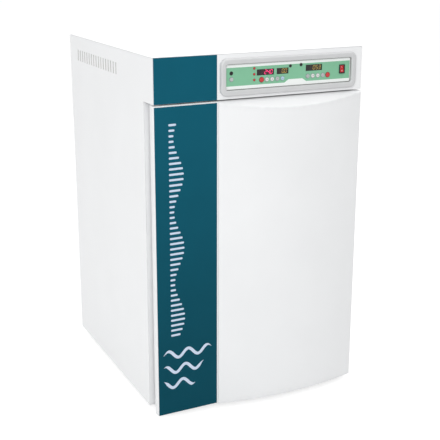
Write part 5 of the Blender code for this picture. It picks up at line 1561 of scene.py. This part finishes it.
@dataclass
class ControlPanel:
    """The raised bezel, the printed film and everything that shows through it.

    Places across the panel are shares of its width. Depths of keys, lenses and grilles run forwards
    from the film's face.
    """

    shop: Workshop
    half_height: float = 48.5 * MM
    rail: float = 15 * MM
    rise: float = 10 * MM
    bezel_gap: float = 0.3 * MM
    outer_corner: float = 18 * MM
    inner_corner: float = 5 * MM
    # Inset of the bead of painted shadow round the opening, and its radius, height and foot.
    shadow_bead_inset: float = 0.2 * MM
    bead_radius: float = 0.7 * MM
    bead_height: float = 1.1 * MM
    bead_foot: float = 0.06 * MM
    numeral_gap: float = 0.02 * MM
    numeral_thickness: float = 0.12 * MM
    pitch: float = 15.7 * MM
    left_keys: float = 0.3595
    left_drop: float = 11.5 * MM
    right_keys: float = 0.7269
    right_drop: float = 10.5 * MM
    mute_key: float = 0.0457
    mute_drop: float = 5.5 * MM
    pale_radius: float = 5.0 * MM
    red_radius: float = 6.2 * MM
    flange_reach: float = 1.2 * MM
    flange_front: float = -2.3 * MM
    flange_back: float = -3.8 * MM
    stem_radius: float = 2.0 * MM
    stem_back: float = -10.4 * MM
    mark_face: float = 2.2 * MM
    mark_thickness: float = 0.2 * MM
    # Reach of the rings of painted shade round the keys, inner and outer, beyond each key's radius.
    key_shade_ring: Pair = (0.25 * MM, 1.2 * MM)
    indicators: float = 0.2204
    indicator_rises: tuple[float, float, float] = (19.3 * MM, 4.1 * MM, -10.9 * MM)
    lens_radius: float = 2.65 * MM
    lens_back: float = -2.2 * MM
    # Inner and outer radius of the rings of painted shade round the indicator lenses.
    lens_shade_ring: Pair = (2.75 * MM, 3.5 * MM)
    discs: tuple[tuple[float, float, float], ...] = (
        (0.0452, 10.1 * MM, 4.5 * MM),
        (0.5034, 19.8 * MM, 3.5 * MM),
        (0.589, 21.4 * MM, 3.75 * MM),
    )
    rocker_place: float = 0.9269

    def at(self, share: float) -> float:
        """The place across the panel at this share of its width."""
        return PANEL_LEFT + share * PANEL_WIDTH

    def keys(self) -> list[Key]:
        """The eleven push buttons.

        Returns:
            The mute key, then each row from left to right.
        """
        red, white, grey, blue = Look.KEY_RED, Look.KEY_WHITE, Look.KEY_GREY, Look.KEY_BLUE
        middle = ((white, Mark.DOWN), (white, Mark.UP), (grey, Mark.BAR))
        rows = (
            ("left", self.left_keys, self.left_drop, ((red, None), *middle, (blue, Mark.BAR))),
            ("right", self.right_keys, self.right_drop, ((grey, Mark.BAR), *middle, (red, None))),
        )
        made = [Key("mute_button", self.at(self.mute_key), BEZEL_Z - self.mute_drop, self.pale_radius, grey)]
        for side, share, drop, row in rows:
            for index, (look, mark) in enumerate(row):
                x = self.at(share) + (index - 2) * self.pitch
                radius = self.red_radius if look is red else self.pale_radius
                made.append(Key(f"{side}_button_{index + 1}", x, BEZEL_Z - drop, radius, look, mark))
        return made

    def build(self) -> None:
        """Make the bezel, displays, lenses, buttons and rocker, and dress the rest."""
        self.shop.dress(Look.PANEL_FILM, "control_overlay")
        self.shop.dress(Look.BOARD, "control_board")
        self.shop.dress(Look.GLOSS_BLACK, "display_left", "display_middle", "display_right")
        self.shop.dress(Look.BLACK_PLASTIC, "rocker_frame")
        self.bezel()
        # A dark bead of painted shadow under the bezel's inner edge.
        self.seal()
        self.displays()
        self.lenses()
        self.grilles()
        for key in self.keys():
            self.button(key)
        # Rings of painted shade for the gaps round the keys.
        self.key_shade_rings()
        Rocker(self.shop, self.at(self.rocker_place)).build()

    def opening(self, outwards: float, corner: float) -> np.ndarray:
        """The outline of the bezel's opening, moved outwards.

        Args:
            outwards: How far to move it, or a negative distance to move it inwards.
            corner: The radius of its corners.

        Returns:
            A closed line of (across, up).
        """
        reach = self.half_height - self.rail + outwards
        low = (PANEL_LEFT - outwards, BEZEL_Z - reach)
        high = (PANEL_LEFT + PANEL_WIDTH + outwards, BEZEL_Z + reach)
        return rounded_outline(low, high, corner, 10)

    def bezel(self) -> None:
        """The frame round the panel: a section carried from its outer outline to its inner one.

        Share s runs from 0 at the outside to 1 at the opening, and the rise at s is a low arch
        between two rounded shoulders. Wear is a peak over the outer shoulder.
        """
        outer, inner = self.opening(self.rail, self.outer_corner), self.opening(0.0, self.inner_corner)
        arch = [(0.0, 0.0), (0.0, 0.72), (0.22, 1.0), (0.84, 1.0), (1.0, 0.82), (1.0, 0.0)]
        section = softened(arch, 0.16, 6)
        lines = [outer + (inner - outer) * share for share in section[:, 0]]
        depths = FRONT - self.bezel_gap - self.rise * section[:, 1]
        worn = np.clip(1 - np.abs(section[:, 0] - 0.2) * 6, 0, 1) * 0.6
        skin = lofted(lines, depths, Plane.FACING, ring=True, worn=worn)
        self.shop.place("panel_bezel", skin, Look.BEZEL_PLASTIC, "cabinet", ["control_bezel"], 60.0)

    def seal(self) -> None:
        """A thin dark bead of painted shadow between the bezel and the film, standing for the shade under
        the bezel's inner edge: a half round carried round the opening.
        """
        edge = self.opening(-self.shadow_bead_inset, self.inner_corner - self.shadow_bead_inset)
        turn = np.linspace(0.0, math.pi, 9)
        lines = [drawn_in(edge, self.bead_radius * (1 - math.cos(angle))) for angle in turn]
        depths = OVERLAY_FACE + SUNK - self.bead_height * np.sin(turn)
        foot = OVERLAY_FACE + self.bead_foot
        skin = lofted([*lines, lines[-1], lines[0]], [*depths, foot, foot], ring=True)
        self.shop.place("film_shadow_bead", skin, Look.SHADOW_BEAD, "cabinet")

    def displays(self) -> None:
        """Lit and dark bars of the three displays."""
        face, thick = FRONT - self.numeral_gap, self.numeral_thickness
        numerals = SevenSegments()
        for display in DISPLAYS:
            right, z = self.at(display.share) + display.last, BEZEL_Z + display.rise
            marks = flat_marks(numerals.outlines(display.text, right, z, True), face, thick)
            if display.point:
                marks = joined([marks, flat_marks(numerals.point(right, z, display.point), face, thick)])
            self.shop.place(f"{display.name}_numerals", marks, display.lit, "cabinet")
            dark = flat_marks(numerals.outlines(display.text, right, z, False), face, thick)
            self.shop.place(f"{display.name}_dark_bars", dark, display.unlit, "cabinet")

    def lenses(self) -> None:
        """Red domes over the three indicators on the board, each ringed with painted shade."""
        r, back = self.lens_radius, self.lens_back
        dome = [(0.0, 1.75 * MM), (1.5 * MM, 1.55 * MM), (r, 0.1 * MM), (r, back), (0.0, back)]
        profile = softened(dome, 1.2 * MM, 6)
        shade_rings = []
        for index, rise in enumerate(self.indicator_rises):
            place = (self.at(self.indicators), OVERLAY_FACE, BEZEL_Z + rise)
            skin = turned_skin(profile, place, Axis.FORWARD, 32)
            self.shop.place(f"indicator_lens_{index + 1}", skin, Look.LENS_RED, "cabinet")
            # A dark ring of painted shade round each lens.
            shade_rings.append(self.collar(place[0], place[2], *self.lens_shade_ring))
        self.shop.place("indicator_shade_rings", joined(shade_rings), Look.SHADE_RING_DARK, "cabinet")

    def collar(self, x: float, z: float, inner: float, outer: float, proud: float = 0.45 * MM) -> Skin:
        """A low ring that lies on the film, a rounded section turned about the ring's middle.

        Args:
            x: Its place across.
            z: Its height.
            inner: Inner radius.
            outer: Outer radius.
            proud: How far it stands off the film.

        Returns:
            Its skin.
        """
        corners = [(inner, 0.0), (inner, proud), (outer, proud), (outer, 0.0)]
        section = softened(corners, proud * 0.7, 4)
        turn = np.arange(40) * math.tau / 40
        ring = np.stack([np.cos(turn), np.sin(turn)], axis=1)
        lines = [ring * radius + np.array([x, z]) for radius in section[:, 0]]
        return lofted(lines, OVERLAY_FACE + SUNK - section[:, 1], Plane.FACING, ring=True)

    def grilles(self) -> None:
        """Black ringed discs behind the panel's three round openings."""
        face, groove, rim, back = -0.9 * MM, -1.3 * MM, -0.5 * MM, -1.9 * MM
        rims = []
        for index, (share, rise, radius) in enumerate(self.discs):
            r = radius - 0.1 * MM
            place = (self.at(share), OVERLAY_FACE, BEZEL_Z + rise)
            rings = [(0.0, face)]
            for step in (0.25, 0.5, 0.75):
                rings += [(r * step, face), (r * (step + 0.06), groove), (r * (step + 0.14), face)]
            rings += [(r, rim), (r, back), (0.0, back)]
            skin = turned_skin(rings, place, Axis.FORWARD, 32)
            self.shop.place(f"sound_grille_{index + 1}", skin, Look.BLACK_PLASTIC, "cabinet")
            rims.append(self.collar(place[0], place[2], r - 0.15 * MM, r + 0.8 * MM))
        self.shop.place("grille_rims", joined(rims), Look.BLACK_PLASTIC, "cabinet")

    def button(self, key: Key) -> None:
        """One turned button with a dished crown, and the mark on it.

        Args:
            key: The button.
        """
        r, flange, stem = key.radius, key.radius + self.flange_reach, self.stem_radius
        front, back, end = self.flange_front, self.flange_back, self.stem_back
        crown = [(0.0, 2.25 * MM), (r * 0.55, 2.35 * MM), (r * 0.80, 2.6 * MM), (r, 1.6 * MM), (r, front)]
        foot = [(flange, front), (flange, back), (stem, back), (stem, end), (0.0, end)]
        profile = softened(crown + foot, 1.0 * MM, 5)
        skin = turned_skin(profile, (key.x, OVERLAY_FACE, key.z), Axis.FORWARD, 40)
        self.shop.place(f"{key.name}_cap", skin, key.look, key.name, [key.name])
        if key.mark:
            outline = (np.array(key.mark.value) * MM + np.array([key.x, key.z]))[None]
            skin = flat_marks(outline, OVERLAY_FACE - self.mark_face, self.mark_thickness)
            self.shop.place(f"{key.name}_mark", skin, Look.KEY_MARK, key.name)

    def key_shade_rings(self) -> None:
        """Rings of painted shade for the gaps round the keys: dark round the red keys and pale round the
        others.
        """
        gap, reach = self.key_shade_ring
        for name, look, red in (("red", Look.SHADE_RING_DARK, True), ("pale", Look.SHADE_RING_PALE, False)):
            keys = [key for key in self.keys() if (key.look is Look.KEY_RED) is red]
            rings = [self.collar(key.x, key.z, key.radius + gap, key.radius + reach) for key in keys]
            self.shop.place(f"{name}_key_shade_rings", joined(rings), look, "cabinet")


@dataclass
class OuterDoor:
    """The outer door: its painted pan, bowed panel, teal strip, inner liner and gasket.

    The bowed panel's own depths run forwards from the front of the cabinet's head.
    """

    shop: Workshop
    body: str = "outer_door"
    lip: float = 19 * MM
    wall: float = 2 * MM
    corner: float = 2.5 * MM
    least_corner: float = 0.33 * MM
    bow_left: float = -0.129
    bow_right: float = 0.310
    bow_step: float = 4 * MM
    bow_rise: float = 27 * MM
    bow_slope: float = 0.755
    bow_side: float = 3.0 * MM
    bow_back: float = 0.3 * MM
    bow_ledge: float = 1.5 * MM
    bow_rounds: tuple[float, float, float] = (1.8 * MM, 2.6 * MM, 0.5 * MM)
    columns: int = 90
    round_steps: int = 6
    face_rows: int = 12
    ink: float = 0.12 * MM
    bars: int = 41
    bar_left: float = -0.2695
    bar_foot: float = 0.252
    bar_pitch: float = 14.4 * MM
    bar_radius: float = 2.9 * MM
    bar_length: float = 27.5 * MM
    bar_swing: float = 14.0 * MM
    bar_turn: float = 0.46
    waves: tuple[tuple[float, float, float], ...] = (
        (-0.292, -0.150, 0.196),
        (-0.292, -0.174, 0.152),
        (-0.292, -0.200, 0.108),
    )
    wave_length: float = 0.058
    wave_shift: float = 0.9
    wave_height: float = 10.5 * MM
    wave_width: float = 8.4 * MM
    liner_half_width: float = 0.270
    liner_heights: Pair = (0.062, 0.826)
    liner_corner: float = 0.030
    gasket_half_width: float = 0.288
    gasket_heights: Pair = (0.042, 0.846)
    gasket_width: float = 0.012
    gasket_depth: float = 6.4 * MM
    gasket_gap: float = 0.3 * MM

    def build(self) -> None:
        """Make the door's pieces."""
        self.shop.dress(Look.TEAL_FILM, "door_teal_strip")
        self.shop.dress(Look.INNER_PLASTIC, "door_core")
        self.pan()
        self.bowed_panel()
        self.bar_pattern()
        self.wave_pattern()
        self.liner()
        self.gasket()

    def pan(self) -> None:
        """The door's folded pan: a section carried round the door's outline.

        Each row is the outline drawn in by the section's inset, at the section's depth. The section
        runs from inside the wall round its free edge, along the wall and round the bend to the face.
        The corner radius shrinks with the inset and never falls below the least one.
        """
        turns = quarter_turn(6)
        r, w, lip = self.corner, self.wall, self.lip
        edge = [(w, w, 0.0), (w, lip - 0.2 * MM, 0.0), (0.25 * MM, lip, 0.8), (0.0, lip - 0.4 * MM, 0.8)]
        bend = np.stack([r - r * np.cos(turns), r - r * np.sin(turns), np.sin(2 * turns) * 0.8], axis=1)
        inset, depth, worn = np.concatenate([edge, bend, [(r + 2 * MM, 0.0, 0.0)]]).T
        lines = [
            rounded_outline(
                (step - HALF_WIDTH, DOOR_LOW + step),
                (HALF_WIDTH - step, DOOR_HIGH - step),
                max(r - step, self.least_corner),
                6,
            )
            for step in inset
        ]
        skin = lofted(lines, FRONT + depth, worn=worn)
        self.shop.place("door_pan", skin, Look.CABINET_PAINT, self.body, ["door_skin"])

    def bow(self) -> tuple[np.ndarray, np.ndarray]:
        """The bow across the door.

        Parameter u gives x and the arch's depth: a step plus the rise times (1 - a^2), where a runs
        from -1 to 1, less a quarter round near both sides.

        Returns:
            Each column's place across, and how far it stands forward.
        """
        left, right, side = self.bow_left, self.bow_right, self.bow_side
        span = right - left
        ends = side * (1 - np.cos(quarter_turn(8)))
        middle = np.linspace(side + 1 * MM, span - side - 1 * MM, self.columns)
        x = left + np.concatenate([ends, middle, span - ends[::-1]])
        across = (2 * x - left - right) / span
        near = np.minimum(x - left, right - x)
        drop = side - np.sqrt(np.maximum(side**2 - np.maximum(side - near, 0) ** 2, 0))
        return x, self.bow_step + self.bow_rise * (1 - across**2) - drop

    def bow_rows(self, depth: np.ndarray) -> np.ndarray:
        """The line that every column of the bow follows.

        Parameter v runs up each column: from the back, round the foot, up the face, over the slope
        at the top and back again, with its three corners rounded.

        Args:
            depth: How far each column stands forward.

        Returns:
            An array (rows, columns, 2) of (depth, height).
        """
        back, low = np.full_like(depth, self.bow_back), np.full_like(depth, DOOR_LOW)
        ledge = np.minimum(self.bow_ledge, depth * 0.5)
        crest, top = DOOR_HIGH - depth * self.bow_slope, DOOR_HIGH - ledge * self.bow_slope
        line = np.array([(back, low), (depth, low), (depth, crest), (ledge, top), (back, top)])
        corners = line.swapaxes(1, 2)
        rows = [corners[:1]]
        for index, radius in enumerate(self.bow_rounds, start=1):
            before, corner, after = corners[index - 1 : index + 2]
            curve = corner_curve(before, corner, after, radius, self.round_steps).swapaxes(0, 1)
            rows.append(curve)
            if index == 1:
                share = np.linspace(0.02, 0.98, self.face_rows)[:, None, None]
                rows.append(curve[-1] + (after - curve[-1]) * share)
        rows.append(corners[-1:])
        return np.concatenate(rows)

    def bowed_panel(self) -> None:
        """The bowed front panel, whose columns close into a shell with two flat ends.

        Wear lies on the rounding of the foot, on that of the crest, and on the columns at both sides.
        """
        x, depth = self.bow()
        grid = self.bow_rows(depth)
        rows, columns = grid.shape[:2]
        points = np.stack([np.broadcast_to(x, (rows, columns)), FRONT - grid[..., 0], grid[..., 1]], axis=-1)
        order = np.arange(rows) * columns
        caps = [order, (order + columns - 1)[::-1]]
        foot_end = self.round_steps + 2
        crest_start = foot_end + self.face_rows
        worn = np.zeros((rows, columns))
        worn[1:foot_end] = 0.5
        worn[crest_start : crest_start + self.round_steps] = 0.45
        worn[:, :6] = np.maximum(worn[:, :6], 0.4)
        worn[:, -6:] = np.maximum(worn[:, -6:], 0.4)
        skin = Skin(points.reshape(-1, 3), grid_quads(rows, columns, True, False), caps, worn.reshape(-1))
        self.shop.place("bowed_front", skin, Look.CABINET_PAINT, self.body, ["door_front_panel"], 50.0)

    def bar_pattern(self) -> None:
        """A column of bars on the teal strip, whose lengths rise and fall as a slow wave.

        Each bar is a circle whose two halves are moved apart, and its left end is on one line.
        """
        rows = np.arange(self.bars)
        z = self.bar_foot + rows * self.bar_pitch
        length = self.bar_length + self.bar_swing * np.sin(rows * self.bar_turn)
        unit = rounded_outline((-0.5, -0.5), (0.5, 0.5), 0.5, 5)
        apart = np.stack([length / 2 - self.bar_radius, np.zeros_like(length)], axis=1)[:, None]
        shape = unit[None] * 2 * self.bar_radius + np.sign(unit)[None] * apart
        outlines = shape + np.stack([self.bar_left + length / 2, z], axis=1)[:, None]
        skin = flat_marks(outlines, FILM_FACE + SUNK, self.ink)
        self.shop.place("strip_bars", skin, Look.PALE_INK, self.body)

    def wave_pattern(self) -> None:
        """Three wavy bands below the bars, each fading in width towards its ends."""
        bands = []
        for index, (left, right, z) in enumerate(self.waves):
            x = np.linspace(left, right, 110)
            phase = (x - left) / self.wave_length * math.tau + index * self.wave_shift
            line = np.stack([x, z + self.wave_height * np.sin(phase)], axis=1)
            share = (x - left) / (right - left)
            width = self.wave_width * np.clip(np.minimum(share, 1 - share) * 9, 0.12, 1)
            bands.append(ribbon(line, width, FILM_FACE + SUNK, self.ink))
        self.shop.place("strip_waves", joined(bands), Look.PALE_INK, self.body)

    def liner(self) -> None:
        """The pressed panel on the door's inner side: a raised field with a stepped, rounded rim.

        The section gives the rise at each inset from the panel's outline, in millimetres.
        """
        rim = [(0.0, 0.0), (0.6, 1.0), (6.0, 2.0), (9.0, 2.5), (26.0, 2.5), (30.0, 1.3), (34.0, 1.1)]
        middle = [(60.0, 1.1), (64.0, 1.5), (70.0, 1.8), (76.0, 1.8)]
        line = softened(rim + middle, 2.0, 4) * MM
        half, (low, high) = self.liner_half_width, self.liner_heights
        outlines = [
            rounded_outline(
                (inset - half, low + inset), (half - inset, high - inset), self.liner_corner - inset * 0.2, 8
            )
            for inset in line[:, 0]
        ]
        depths = np.concatenate([[DOOR_REAR + 0.05 * MM], DOOR_REAR + 0.1 * MM + line[:, 1]])
        skin = lofted([outlines[0], *outlines], depths)
        self.shop.place("door_liner_panel", skin, Look.INNER_PLASTIC, self.body)

    def gasket(self) -> None:
        """The magnetic gasket: a bellows section carried round between its two outlines."""
        half, (low, high), width = self.gasket_half_width, self.gasket_heights, self.gasket_width
        outer = rounded_outline((-half, low), (half, high), 4 * MM, 8)
        inner = rounded_outline((width - half, low + width), (half - width, high - width), 3 * MM, 8)
        outside = [(0.18, 0.0), (0.0, 0.12), (0.12, 0.34), (0.0, 0.52), (0.06, 0.9), (0.3, 1.0)]
        inside = [(0.74, 1.0), (0.96, 0.88), (1.0, 0.5), (0.86, 0.3), (1.0, 0.1), (0.8, 0.0)]
        section = softened(outside + inside, 0.12, 3)
        lines = [outer + (inner - outer) * share for share in section[:, 0]]
        depths = DOOR_REAR + self.gasket_gap + self.gasket_depth * section[:, 1]
        skin = lofted(lines, depths, ring=True)
        self.shop.place("magnetic_gasket", skin, Look.RUBBER, self.body, ["door_gasket"], 50.0)


@dataclass
class GlassDoor:
    """The inner glass door with its hinge stile, seal and knob."""

    shop: Workshop
    knob: Point = (-0.237, -0.2588, 0.444)

    def build(self) -> None:
        """Dress the pane, stile and seal, and make the knob."""
        self.shop.dress(Look.GLASS, "glass_pane")
        self.shop.dress(Look.STAINLESS, "glass_hinge_stile")
        self.shop.dress(Look.SILICONE, "glass_seal")
        grip = [(0.0, 13.2), (7.5, 13.2), (9.0, 14.0), (10.6, 14.0), (12.0, 12.0), (12.0, 8.0)]
        neck = [(6.4, 5.4), (6.4, 2.0), (7.6, 0.0), (0.0, 0.0)]
        profile, span = softened(grip + neck, 1.2, 5) * MM, (7.5 * MM, 12.4 * MM)
        skin = turned_skin(profile, self.knob, Axis.FORWARD, 96, 12, 0.7 * MM, span)
        self.shop.place("fluted_knob", skin, Look.BLACK_PLASTIC, "glass_door", ["glass_knob"])


@dataclass
class Chamber:
    """The working chamber: its frame, liner, shelf, duct and sensor."""

    shop: Workshop
    screw_side: float = 0.2555
    screw_heights: Pair = (0.10, 0.79)
    step_depth: float = 25 * MM

    def build(self) -> None:
        """Dress the chamber's solids and make the screws of its frame."""
        self.shop.dress(Look.INNER_PLASTIC, "front_frame")
        self.shop.dress(Look.STAINLESS, "chamber_liner", "shelf", "fan_duct", "sensor_probe")
        self.shop.dress(Look.ALUMINIUM, "fan_wheel")
        self.shop.dress(Look.BLACK_PLASTIC, "fan_motor")
        self.frame_screws()

    def frame_screws(self) -> None:
        """Screws beside the chamber opening, on the step that the glass door closes over."""
        up = np.linspace(*self.screw_heights, 5)[1:-1]
        places = [(side, float(z)) for side in (-self.screw_side, self.screw_side) for z in up]
        screws = Screws(radius=2.6 * MM, height=1.2 * MM)
        skin = screws.skin(places, FRAME_FRONT + self.step_depth, Axis.FORWARD)
        self.shop.place("frame_screws", skin, Look.STEEL, "cabinet")


@dataclass
class Shaker:
    """The orbital shaker: base, cranks, platform with its mat, motor, pulley and belt."""

    shop: Workshop
    mat_low: Point = (-0.195, -0.181, 0.1491)
    mat_high: Point = (0.220, 0.2046, 0.1521)
    mat_corner: float = 8 * MM
    mat_rounding: float = 0.7 * MM
    ribs: int = 26
    rib_margin: float = 8 * MM
    rib_end: float = 9 * MM
    rib_half_width: float = 2.2 * MM
    rib_sunk: float = 1.2 * MM
    rib_rise: float = 0.3 * MM
    slab_drop: float = 0.6 * MM

    def build(self) -> None:
        """Dress the mechanism and make the mat on the platform."""
        idlers = [f"idler_crank_{corner}" for corner in ("front_left", "front_right", "rear_right")]
        self.shop.dress(Look.ALUMINIUM, "shaker_base", "platform", "motor_pulley")
        self.shop.dress(Look.STEEL, "main_crank", *idlers)
        self.shop.dress(Look.BLACK_PLASTIC, "shaker_motor")
        self.shop.dress(Look.RUBBER, "drive_belt")
        self.mat()

    def mat(self) -> None:
        """A rubber mat with low ribs: a slab with rounded corners, and rounded bars that stand in it."""
        low, high = self.mat_low, self.mat_high
        edge = rounded_outline(low[:2], high[:2], self.mat_corner, 6)
        slab = prism(edge, low[2], high[2] - self.slab_drop, Plane.LEVEL, self.mat_rounding)
        across = np.linspace(low[0] + self.rib_margin, high[0] - self.rib_margin, self.ribs)
        ribs = [
            rounded_block(
                (float(x) - self.rib_half_width, low[1] + self.rib_end, high[2] - self.rib_sunk),
                (float(x) + self.rib_half_width, high[1] - self.rib_end, high[2] + self.rib_rise),
                self.mat_rounding,
                1,
            )
            for x in across
        ]
        self.shop.place("platform_mat", joined([slab, *ribs]), Look.MAT, "platform")


@dataclass
class Studio:
    """The camera at the photograph's viewing angle, the plain floor and the soft light."""

    place: Point = (-1.1478, -2.4283, 1.2708)
    yaw: float = 0.4493
    pitch: float = 0.2725
    lens: float = 74.6
    shift_x: float = 0.0118
    shift_y: float = -0.05
    ambient: float = 0.58
    floor_reach: float = 60.0
    floor_lit: Colour = (0.72, 0.72, 0.72)
    floor_seen: Colour = (0.62, 0.62, 0.62)
    floor_glow: float = 0.65
    aim: Point = (0.0, 0.0, 0.5)
    lamps: tuple[tuple[str, Point, float, float], ...] = (
        ("key_light", (-1.9, -3.2, 2.2), 2.2, 63.0),
        ("side_light", (-3.4, 0.6, 1.6), 2.0, 18.0),
        ("top_light", (0.2, -0.4, 3.6), 2.4, 31.0),
        ("back_light", (1.6, 3.4, 2.2), 2.0, 28.0),
    )

    def build(self) -> None:
        """Make the camera, floor, lamps and world."""
        self.camera()
        self.floor()
        self.world()
        for lamp in self.lamps:
            self.lamp(*lamp)

    def camera(self) -> None:
        """The camera, which looks along its yaw and down by its pitch."""
        data = bpy.data.cameras.new("studio_camera")
        data.lens = self.lens
        data.sensor_width = 36.0
        data.shift_x = self.shift_x
        data.shift_y = self.shift_y
        data.clip_start, data.clip_end = 0.05, 200.0
        camera = bpy.data.objects.new("studio_camera", data)
        camera.location = self.place
        camera.rotation_euler = (math.pi / 2 - self.pitch, 0.0, -self.yaw)
        bpy.context.scene.collection.objects.link(camera)
        bpy.context.scene.camera = camera

    def seen(self, tree: Tree) -> Socket:
        """Where a ray is one that shows: from the camera, off a gloss or through glass.

        Args:
            tree: The node tree to work it out in.

        Returns:
            A socket that is 1 for such a ray and 0 for light on its way to a surface.
        """
        rays = tree.nodes.new("ShaderNodeLightPath").outputs
        either = worked(tree, "MAXIMUM", rays["Is Camera Ray"], rays["Is Glossy Ray"])
        return worked(tree, "MAXIMUM", either, rays["Is Transmission Ray"])

    def floor(self) -> None:
        """A wide pale floor, which shows the camera white with the object's soft shadow."""
        reach = self.floor_reach
        outline = rounded_outline((-reach, -reach), (reach, reach), 1.0, 4)
        points = placed(outline, np.zeros(len(outline)), Plane.LEVEL)
        mesh = bpy.data.meshes.new("studio_floor")
        mesh.from_pydata(points.tolist(), [], [list(range(len(points)))])
        floor = bpy.data.objects.new("studio_floor", mesh)
        bpy.context.scene.collection.objects.link(floor)
        material = bpy.data.materials.new("studio_floor")
        material.use_nodes = True
        tree = material.node_tree
        shader = tree.nodes["Principled BSDF"]
        seen = self.seen(tree)
        tree.links.new(blended(tree, seen, self.floor_lit, self.floor_seen), shader.inputs["Base Color"])
        shader.inputs["Roughness"].default_value = 0.9
        shader.inputs["Specular IOR Level"].default_value = 0.0
        shader.inputs["Emission Color"].default_value = (1.0, 1.0, 1.0, 1.0)
        tree.links.new(worked(tree, "MULTIPLY", seen, self.floor_glow), shader.inputs["Emission Strength"])
        mesh.materials.append(material)

    def world(self) -> None:
        """An even pale surround: white to the eye and in reflections, and softer as light."""
        world = bpy.data.worlds.new("studio_surround")
        world.use_nodes = True
        tree = world.node_tree
        background = tree.nodes["Background"]
        background.inputs["Color"].default_value = (1.0, 1.0, 1.0, 1.0)
        strength = worked(tree, "MULTIPLY_ADD", self.seen(tree), 1.0 - self.ambient, self.ambient)
        tree.links.new(strength, background.inputs["Strength"])
        bpy.context.scene.world = world

    def lamp(self, name: str, place: Point, size: float, power: float) -> None:
        """A square soft lamp that looks at the object's middle.

        Args:
            name: Its name.
            place: Where it stands.
            size: Its side in metres.
            power: Its power in watts.
        """
        data = bpy.data.lights.new(name, "AREA")
        data.size = size
        data.energy = power
        lamp = bpy.data.objects.new(name, data)
        way = np.array(self.aim) - np.array(place)
        way /= np.linalg.norm(way)
        lamp.location = place
        lamp.rotation_euler = (math.acos(-way[2]), 0.0, math.atan2(way[1], way[0]) - math.pi / 2)
        bpy.context.scene.collection.objects.link(lamp)


def main() -> None:
    """Load the frame, build every assembly in order and report each piece."""
    logging.basicConfig(level=logging.INFO, format="%(message)s")
    scene = bpy.context.scene
    scene.view_settings.view_transform = "Standard"
    shop = Workshop(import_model())
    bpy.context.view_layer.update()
    Studio().build()
    for assembly in (Cabinet, ControlPanel, OuterDoor, GlassDoor, Chamber, Shaker):
        assembly(shop).build()
        LOG.info("finished the %s", assembly.__name__)
    LOG.info("%d pieces made", len(shop.made))


if __name__ == "__main__":
    main()
